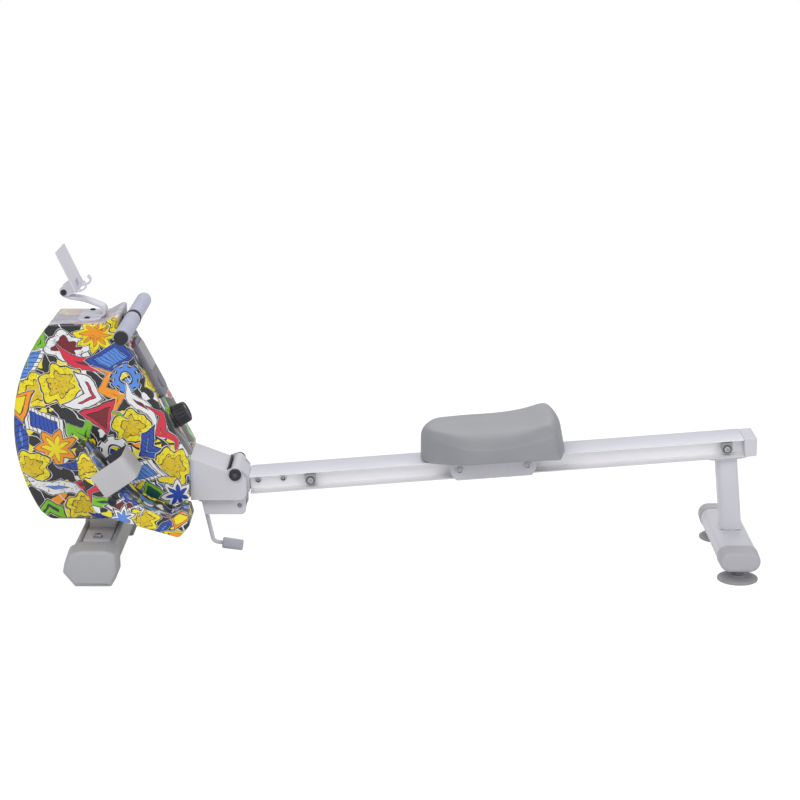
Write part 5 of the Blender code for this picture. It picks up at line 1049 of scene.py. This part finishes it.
knob = spun(KNOB, SLOPE_LOW + SLOPE_UP * KNOB_AT, SLOPE_OUT, FLUTES * 12, fluted)
piece("knob_moulding", solid(knob), "black_plastic", "knob", ("tension_knob",), 45)
pointer = placed(lying(rounded(POINTER, 3), 0.0319, 0.0326), slope_frame(KNOB_AT))
piece("knob_pointer", solid(pointer), "light_plastic", "knob")
print("console and knob ready")

# %% [markdown]
# ## Seat
# The real seat is one block of integral-skin foam, so it has no seam: the skin
# forms in the mould with the foam. Its top is dished, rises at the tail, and
# rolls over into the side. The cage below has few points and subdivision rounds
# it; a crease weight keeps the lower edge crisp, as the mould's parting line does.

# %% Seat pad
RAIL_FRAME = Matrix.Translation((RAIL_X, 0.0, RAIL_Z)) @ Matrix.Rotation(-RAIL_TILT, 4, "Y")
SEAT_AT, SEAT_HALF, SEAT_WIDE = 0.5828, 0.169, 0.146
SEAT_CROWN, NOSE_RISE, TAIL_RISE = 0.0762, 0.007, 0.017
MIDDLE_RISE, DISH_DEEP, EDGE_DROP = 0.0065, 0.0050, 0.0180


def seat_top(u, v):
    """Height of the top above the rail: u runs from nose to tail, v across."""
    crown = SEAT_CROWN + NOSE_RISE * max(0.0, -u) ** 2.2 + TAIL_RISE * max(0.0, u) ** 2.4
    return crown + (MIDDLE_RISE - DISH_DEEP * (1 - v * v) - EDGE_DROP * v ** 4) * (1 - u * u)


def seat_place(u, v, w):
    """Where a point of the cube from -1 to 1 lies on the seat: w runs from the underside to the top."""
    rise = max(0.0, w)
    # The nose narrows well forward of the middle, and the tail a little at its end.
    nose = 1 - 0.46 * (max(0.0, -u - 0.38) / 0.62) ** 1.25
    tail = 1 - 0.07 * max(0.0, u - 0.4) / 0.6
    # The ends are round in plan, and every side draws in towards the top.
    x = SEAT_HALF * u * (1 - (0.15 if u < 0 else 0.09) * v * v)
    x *= (1 - (0.055 if u > 0 else 0.040) * w / 2) * (1 - 0.08 * rise ** 7)
    y = SEAT_WIDE * v * nose * tail * (1 - 0.025 * (1 - w)) * math.sqrt(1 - 0.10 * u * u)
    y *= (1 + 0.012 * (1 - w * w)) * (1 - 0.17 * rise ** 6)
    # The underside lifts beside the rail, and the cage's upper rows roll the edge over.
    under = 0.003 + 0.009 * max(0.0, abs(v) - 0.5) / 0.5 * (1 - u * u)
    roll = (1.5 - 0.9 * max(0.0, -u) - 0.5 * max(0.0, u)) * rise ** 3 * (1 - rise)
    return (SEAT_AT + x, y, under + (seat_top(u, v) - under) * ((w + 1) / 2 - roll))


bm = bmesh.new()
bmesh.ops.create_cube(bm, size=2.0)
bmesh.ops.subdivide_edges(bm, edges=bm.edges, cuts=7, use_grid_fill=True)
for vert in bm.verts:
    vert.co = seat_place(*vert.co)
crease = bm.edges.layers.float.new("crease_edge")
for edge in bm.edges:
    if len(edge.link_faces) == 2 and edge.calc_face_angle(0.0) > math.radians(40):
        edge[crease] = 0.5 if all(v.co.z < 0.022 for v in edge.verts) else 0.0
seat = piece("seat_cushion", bm, "seat_foam", "seat", ("seat_pad",), 180)
seat.data.transform(RAIL_FRAME)
foam_skin = seat.modifiers.new("round", "SUBSURF")
foam_skin.levels = foam_skin.render_levels = 2
applied(seat)
carriage_room = bar_of((SEAT_AT - 0.1035, -0.0575, -0.05), (SEAT_AT + 0.1035, 0.0575, 0.0103))
rail_room = bar_of((SEAT_AT - 0.3, -0.0575, -0.05), (SEAT_AT + 0.3, 0.0575, 0.0035))
carved(seat, placed(carriage_room, RAIL_FRAME), placed(rail_room, RAIL_FRAME), sharp=50)
print("seat faces", len(seat.data.polygons))

# %% [markdown]
# ## Fasteners
# Bolts, screws and washers are bought parts, alike wherever they are used, so
# two functions turn them. A socket head is a turned dome whose last rings, down in
# the socket, are hexagons instead of circles. A hexagon head has no other rings.

# %% Bolts and screws
AXLE_DROP = -0.0225


def socket_head(bm, start, axis, radius, tall, socket=0.45):
    """A domed head with a hexagon socket, whose chamfer and wall take the dark second finish as painted
    shade.
    """
    hexagon = radius * socket
    made = lofted(bm, spun([(radius, 0.0), (radius, tall * 0.35), (radius * 0.96, tall * 0.62),
                            (radius * 0.86, tall * 0.86), (radius * 0.74, tall), (hexagon * 1.36, tall),
                            (hexagon, tall * 0.82, 6), (hexagon, tall * 0.3, 6)], start, axis, 36))
    # Painted shade: the socket's chamfer and wall take the dark second finish.
    for vert in made[-2]:
        for face in vert.link_faces:
            face.material_index = 1


def hex_head(bm, start, axis, radius, tall, washer):
    """A hexagon head on its washer."""
    top = 0.0014 + tall
    lofted(bm, spun([(washer, 0.0), (washer, 0.0010), (washer * 0.97, 0.0014)], start, axis, 36))
    lofted(bm, spun([(radius, 0.0014, 6), (radius, top - tall * 0.18, 6), (radius * 0.93, top, 6),
                     (radius * 0.55, top, 6)], start, axis, 36))


def on_rail(along, y, up):
    """A place given along the rail, across it and up from its top."""
    return RAIL_FRAME @ Vector((along, y, up))


bm = bmesh.new()
for side, hand in SIDES:
    for at in (0.0195, 0.0795):
        socket_head(bm, on_rail(at, side * 0.0262, -0.0165), (0, side, 0), 0.0082, 0.0060)
    for at in (0.145, 1.140):
        # Painted shade: the dark washer under each stop's bolt gives the shade ring round the head.
        washer = spun([(0.0098, 0.0), (0.0098, 0.0008), (0.0094, 0.0011)],
                      on_rail(at, side * 0.0442, AXLE_DROP), (0, side, 0))
        lofted(bm, washer, material=1)
        socket_head(bm, on_rail(at, side * 0.0450, AXLE_DROP), (0, side, 0), 0.0074, 0.0046)
piece("rail_bolts", bm, ("silver_paint", "black_plastic"), "rail", sharp=30)

bm = bmesh.new()
for side, hand in SIDES:
    for at in (-0.081, 0.081):
        start = on_rail(SEAT_AT + at, side * 0.0562, AXLE_DROP)
        lofted(bm, spun([(0.0100, 0.0), (0.0100, 0.0009), (0.0096, 0.0012)], start, (0, side, 0)))
        socket_head(bm, start + Vector((0, side * 0.0010, 0)), (0, side, 0), 0.0084, 0.0048, 0.42)
piece("carriage_bolts", bm, ("silver_paint", "black_plastic"), "seat", sharp=30)

bm = bmesh.new()
for y in (-0.104, 0.104):
    hex_head(bm, Vector((-0.685, y, 0.0852)), (0, 0, 1), 0.0078, 0.0066, 0.0122)
piece("foot_bolts", bm, "bright_steel", "frame", sharp=30)

bm = bmesh.new()
for y in (-0.0475, 0.0475):
    socket_head(bm, Vector((-0.700, y, 0.6048)), (0, 0, 1), 0.0066, 0.0030, 0.42)
piece("holder_screws", bm, ("black_plastic", "black_plastic"), "frame", sharp=30)

# Painted shade: thin dark hexagons on the pivot's ends stand in for the shade in its hexagon sockets.
sockets = [spun([(0.0052, 0.0, 6), (0.0052, 0.00055, 6)], Vector((-0.359, side * 0.0786, 0.2304)),
                (0, side, 0), 36) for side, hand in SIDES]
piece("pivot_socket_shade", solid(*sockets), "strap_inside", "frame", sharp=30)
print("fasteners ready")

# %% [markdown]
# ## End caps and feet
# The caps are thick soft-edged mouldings pushed over the tubes. The front pair
# stands on the floor itself; the rear pair carries turned feet that screw in and
# out to level the machine.

# %% Front caps
FRONT_X, FRONT_END, CAP_LONG, CAP_ROUND = -0.685, 0.1663, 0.054, 0.0085
CAP = [(-0.074, 0.036, 0.012), (-0.0435, 0.0, 0.006), (0.0465, 0.0, 0.006), (0.0605, 0.033, 0.010),
       (0.0595, 0.086, 0.014), (0.0315, 0.093, 0.022), (-0.0295, 0.093, 0.022), (-0.057, 0.084, 0.020)]


def front_cap_place(x, z, at):
    """Where a point of the straight cap lies once its end is drawn in and its top leans down."""
    out = max(0.0, (at - FRONT_END) / CAP_LONG)
    lean = 0.006 * out * min(1.0, max(0.0, (z - 0.030) / 0.03))
    return FRONT_X + (x - FRONT_X) * (1 - 0.07 * out), at, z - lean


outline = rounded([(FRONT_X + x, z, r) for x, z, r in CAP], 7)
for side, hand in SIDES:
    rings = []
    for ring in slab_rings(outline, FRONT_END, FRONT_END + CAP_LONG, 0.0012, CAP_ROUND, 7):
        drawn_in = [front_cap_place(p.x, p.y, at) for p, at in ring]
        rings.append([Vector((x, side * y, z)) for x, y, z in drawn_in])
    piece("front_cap_moulding_" + hand, solid(rings), "cap_plastic", "frame", ("front_cap_" + hand,),
          50)
print("front caps ready")

# %% Rear caps and feet
REAR_X, REAR_Z, REAR_END, REAR_CAP_LONG = 0.828, 0.0545, 0.1483, 0.052
FOOT_Y = 0.158
FOOT = [(0.0458, 0.0), (0.0472, 0.0008), (0.0478, 0.0028), (0.0474, 0.0052), (0.0455, 0.0068),
        (0.0400, 0.0080), (0.0260, 0.0094), (0.0200, 0.0100), (0.0178, 0.0108), (0.0165, 0.0124),
        (0.0158, 0.0132), (0.0120, 0.0134), (0.0052, 0.0134), (0.0050, 0.0142), (0.0050, 0.0498),
        (0.0044, 0.0505)]


def oval(wide, tall):
    """An oval tube's outline from its half sizes."""
    end = tall * 0.98
    return rounded([(-wide, -tall, end), (wide, -tall, end), (wide, tall, end), (-wide, tall, end)], 12)


for side, hand in SIDES:
    rings = []
    for ring in slab_rings(oval(0.049, 0.026), REAR_END, REAR_END + REAR_CAP_LONG, 0.0010, 0.0095, 7):
        out = max(0.0, (ring[0][1] - REAR_END) / REAR_CAP_LONG)
        rings.append([Vector((REAR_X + p.x * (1 - 0.04 * out), side * at, REAR_Z + p.y * (1 - 0.06 * out)))
                      for p, at in ring])
    cap = piece("rear_cap_moulding_" + hand, solid(rings), "pale_plastic", "rail", ("rear_cap_" + hand,),
                50)
    stem = (REAR_X, side * FOOT_Y, 0.0)
    carved(cap, spun([(0.0053, 0.0), (0.0053, 0.0545)], stem, (0, 0, 1), 24), sharp=50)
    piece("levelling_foot_" + hand, solid(spun(FOOT, stem, (0, 0, 1), 56)), "grey_plastic", "foot_" + hand,
          ("foot_pad_" + hand,), 50)
print("rear caps and feet ready")

# %% [markdown]
# ## Pull strap
# The webbing runs from the reel over the guide roller and out to the handle. It
# crosses the joint that the handle slides on.

# %% Webbing from the reel to the handle
REEL_X, REEL_Z, REEL_REACH = -0.665, 0.505, 0.02955
ROLLER_X, ROLLER_Z, ROLLER_REACH = -0.640, 0.578, 0.01385
BAR_END = Vector((-0.6141, 0.5920))
LEAVE, LAND = 149.4, 96
WEBBING = [(-0.0095, 0.0004), (-0.0091, 0.00125), (0.0091, 0.00125), (0.0095, 0.0004),
           (0.0095, -0.0004), (0.0091, -0.00125), (-0.0091, -0.00125), (-0.0095, -0.0004)]
way = arc(REEL_X, REEL_Z, REEL_REACH, LEAVE, LAND, 1)[:1]
way += arc(ROLLER_X, ROLLER_Z, ROLLER_REACH, LEAVE, LAND, 8)
way += [way[-1].lerp(BAR_END, k / 24) for k in range(1, 25)]
webbing = made_object("pull_webbing", solid(swept(way, WEBBING)), "webbing", 180)
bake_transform(webbing)
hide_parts("pull_strap")
print("webbing points", len(way))

# %% [markdown]
# ## Lock box and lever
# The box is folded from sheet below the bracket, with the hole for the pin that
# holds the rail upright. The lever is a round rod bent once, so it is a loft of
# one circle along a path with a true bend radius.

# %% Box and bent rod
BOX_REAR, BOX_FRONT, BOX_LOW, BOX_TOP, BOX_HALF, SHEET = -0.337, -0.444, 0.1230, 0.1662, 0.046, 0.0035
ROD_TOP, ROD_BEND, ROD_END = Vector((-0.4437, 0.150)), Vector((-0.420, 0.041)), Vector((-0.353, 0.0315))
ROD, ROD_SIDES = 0.0050, 24
ROD_COLLAR = [(0.0098, -0.0010), (0.0110, 0.0), (0.0110, 0.0050), (0.0102, 0.0060)]
outline = rounded([(-0.4365, BOX_LOW, 0.006), (BOX_REAR, BOX_LOW, 0.012), (BOX_REAR, BOX_TOP, 0.0),
                   (BOX_FRONT, BOX_TOP, 0.0)])
box = piece("lock_box_folded", solid(across(outline, -BOX_HALF, BOX_HALF, 0.003, 0.003, 4)),
            "silver_paint", "frame", ("lock_box",))
axis = (ROD_TOP - ROD_BEND).normalized()
upward = (axis.x, 0, axis.y)
inside = bar_of((-0.432, SHEET - BOX_HALF, 0.127), (-0.30, BOX_HALF - SHEET, BOX_TOP - 0.004))
pin_hole = spun([(0.006, -0.08), (0.006, 0.08)], (-0.352, 0, 0.146), (0, 1, 0), 32)
rod_hole = spun([(0.0113, 0.0), (0.0113, 0.2)], (ROD_BEND.x, 0, ROD_BEND.y), upward, 32)
carved(box, inside, pin_hole, rod_hole)
low = ROD_TOP - axis * 0.004
path = open_path([(low.x, low.y, 0), (ROD_BEND.x, ROD_BEND.y, 0.014), (ROD_END.x, ROD_END.y, 0)], 12)
circle = [(p.y, p.x) for p in arc(0, 0, ROD, 0, 360, ROD_SIDES)[:-1]]
rod = swept([low + axis * 0.016] + path, circle)
collar = spun(ROD_COLLAR, (low.x, 0, low.y), upward, 32)
piece("lock_lever_rod", solid(rod, collar), "silver_paint", "crank", ("lock_crank",))
print("lever points", len(path))

# %% [markdown]
# ## Softer edges on the plain pieces
# Folded and welded steel never has a knife edge: paint rounds it off. The pieces
# taken straight from the frame get a small bevel as a modifier, so that their
# edges catch the light and their own points stay where they are.

# %% Bevels
EDGE_WIDTH = 0.0010
OTHER_WIDTHS = {"rail_bracket": 0.0022, "rear_plate": 0.0012, "crank_grip": 0.0012, "main_frame": 0.0008}
painted = ["rail_bracket", "rear_plate", "crank_grip", "main_frame", "media_holder", "rear_post",
           "rear_stabiliser", "seat_carriage", "handle_cradle", "front_stabiliser", "rail_hinge",
           "rail_end_cap", "front_seat_stop", "rear_seat_stop"]
for node in painted:
    edge = frame["nodes"][node].modifiers.new("painted edge", "BEVEL")
    edge.width = OTHER_WIDTHS.get(node, EDGE_WIDTH)
    edge.segments = 3
    edge.limit_method = "ANGLE"
    edge.angle_limit = math.radians(38)
    edge.harden_normals = True
print("bevelled", len(painted), "pieces")

# %% [markdown]
# ## Rail
# The rail is an aluminium extrusion, so one outline swept along its length makes
# all of it: thin flange edges, a deep channel down each side for the rollers, and
# a hollow core. The frame's rail has square lips; here they taper off.

# %% Extrusion
RAIL_LONG = 1.180
RAIL_RIGHT = [(0.050, 0.0, 0.0012), (0.050, -0.0028, 0.0005), (0.046, -0.0045, 0.0020),
              (0.026, -0.0062, 0.0015), (0.026, -0.0362, 0.0015), (0.046, -0.0392, 0.0020),
              (0.050, -0.0408, 0.0005), (0.050, -0.044, 0.0012)]
CORE_RIGHT = [(0.022, -0.005, 0.002), (0.022, -0.039, 0.002)]


def extruded(right, start, end, steps):
    """Rings of a bar along the rail from the right half of its section, mirrored to the left."""
    outline = rounded(right + [(-y, z, r) for y, z, r in right[::-1]], steps)
    return [[on_rail(x, p.x, p.y) for p in outline] for x in (start, end)]


rail = piece("rail_extrusion", solid(extruded(RAIL_RIGHT, 0.0, RAIL_LONG, 4)), "anodised_rail", "rail",
             ("rail",), 30)
carved(rail, extruded(CORE_RIGHT, -0.01, RAIL_LONG + 0.01, 3), sharp=30)
print("rail faces", len(rail.data.polygons))

# %% [markdown]
# ## Device holder's arm
# The arm is one bent strip that ends in an eye for the pivot screw, moulded
# together with a base that screws to the housing. The strip is a loft of one
# section along a smoothed path, so that it keeps its thickness round the bends.

# %% Holder arm
ARM = [(-0.6955, 0.6037, 0.0), (-0.6650, 0.6036, 0.009), (-0.6630, 0.6225, 0.012), (-0.7070, 0.6410, 0.060),
       (-0.7450, 0.6468, 0.020), (-0.7600, 0.6540, 0.0)]
ARM_SECTION = [(-0.0208, -0.0026), (-0.0200, -0.0036), (0.0200, -0.0036), (0.0208, -0.0026),
               (0.0208, 0.0026), (0.0200, 0.0036), (-0.0200, 0.0036), (-0.0208, 0.0026)]
EYE = [(0.0096, -0.0208), (0.0102, -0.0202), (0.0102, 0.0202), (0.0096, 0.0208)]
BASE = [(-0.723, -0.060, 0.014), (-0.669, -0.060, 0.014), (-0.669, 0.060, 0.014), (-0.723, 0.060, 0.014)]
path = [Vector(ARM[0][:2])]
for back, here, onward in zip(ARM, ARM[1:], ARM[2:]):
    a, b, c = Vector(back[:2]), Vector(here[:2]), Vector(onward[:2])
    reach = min(here[2] * 1.2, (a - b).length * 0.48, (c - b).length * 0.48)
    first, last = b + (a - b).normalized() * reach, b + (c - b).normalized() * reach
    path += [first.lerp(b, k / 8).lerp(b.lerp(last, k / 8), k / 8) for k in range(9)]
path.append(Vector(ARM[-1][:2]))
arm = solid(swept(path, ARM_SECTION), spun(EYE, (-0.757, 0, 0.661), (0, 1, 0), 48),
            lying(rounded(BASE, 8), 0.6003, 0.6048, 0.0, 0.0016, 4))
piece("holder_arm_moulding", arm, "light_plastic", "frame", ("holder_arm",), 40)
print("arm points", len(path))

# %% [markdown]
# ## Weld bead
# The post is welded to the cross tube of the rear foot. The bead is a thin rope
# round the post, swelling with each drop of the weld.

# %% Bead round the post's foot
POST_FRONT, POST_REAR, POST_HALF = 0.8062, 0.8558, 0.0298
BEAD, BEAD_SIDES, BEAD_Z, DROPLET = 0.0022, 8, 0.0790, 3.2
outline = rounded([(POST_FRONT, -POST_HALF, 0.014), (POST_REAR, -POST_HALF, 0.014),
                   (POST_REAR, POST_HALF, 0.014), (POST_FRONT, POST_HALF, 0.014)], 10)
around = refined(outline + outline[:1], 0.0012)[:-1]
bm = bmesh.new()
made = []
for i, p in enumerate(around):
    on = (around[(i + 1) % len(around)] - around[i - 1]).normalized()
    out = Vector((on.y, -on.x, 0.0))
    reach = BEAD * (1 + 0.22 * math.sin(2 * math.pi * i / DROPLET))
    down = 0.0035 * max(0.0, abs(p.x - REAR_X) - 0.020) / 0.008
    middle = Vector((p.x, p.y, BEAD_Z - down))
    circle = arc(0, 0, reach, 0, 360, BEAD_SIDES)[:-1]
    made.append([bm.verts.new(middle + out * c.x + Vector((0, 0, c.y))) for c in circle])
for i, ring in enumerate(made):
    for k in range(BEAD_SIDES):
        bm.faces.new((made[i - 1][k - 1], made[i - 1][k], ring[k], ring[k - 1]))
piece("post_weld_bead", bm, "bright_steel", "rail", sharp=60)
print("bead points", len(around))

# %% [markdown]
# ## Finishes of the frame's own pieces
# What isn't modelled again is drawn straight from the frame. The record names a
# finish for each of its pieces, so one loop dresses them all, and a short table
# names the few whose tone in the photo is another one.

# %% Every CAD piece takes the finish its record names
slots = {part["node"]: part["material_slot"] for part in frame["record"]["subparts"]}
OTHER_FINISHES = {"front_stabiliser": "beam_grey", "front_cap_left": "beam_grey",
                  "front_cap_right": "beam_grey", "rear_cap_left": "pale_plastic",
                  "rear_cap_right": "pale_plastic", "crank_grip": "lever_grip",
                  "rail_end_cap": "silver_paint", "console_body": "bezel_plastic",
                  "console_button": "bezel_plastic"}
for node, obj in frame["nodes"].items():
    obj.data.materials.clear()
    obj.data.materials.append(finishes[OTHER_FINISHES.get(node, slots[node])])
    if slots[node] == "printed_shell":
        unfold(obj, HOUSING_HALF if "housing" in node else PEDAL_OUTER)
print("dressed", len(frame["nodes"]), "CAD pieces")

# %% Size of the finished object
low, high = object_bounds()
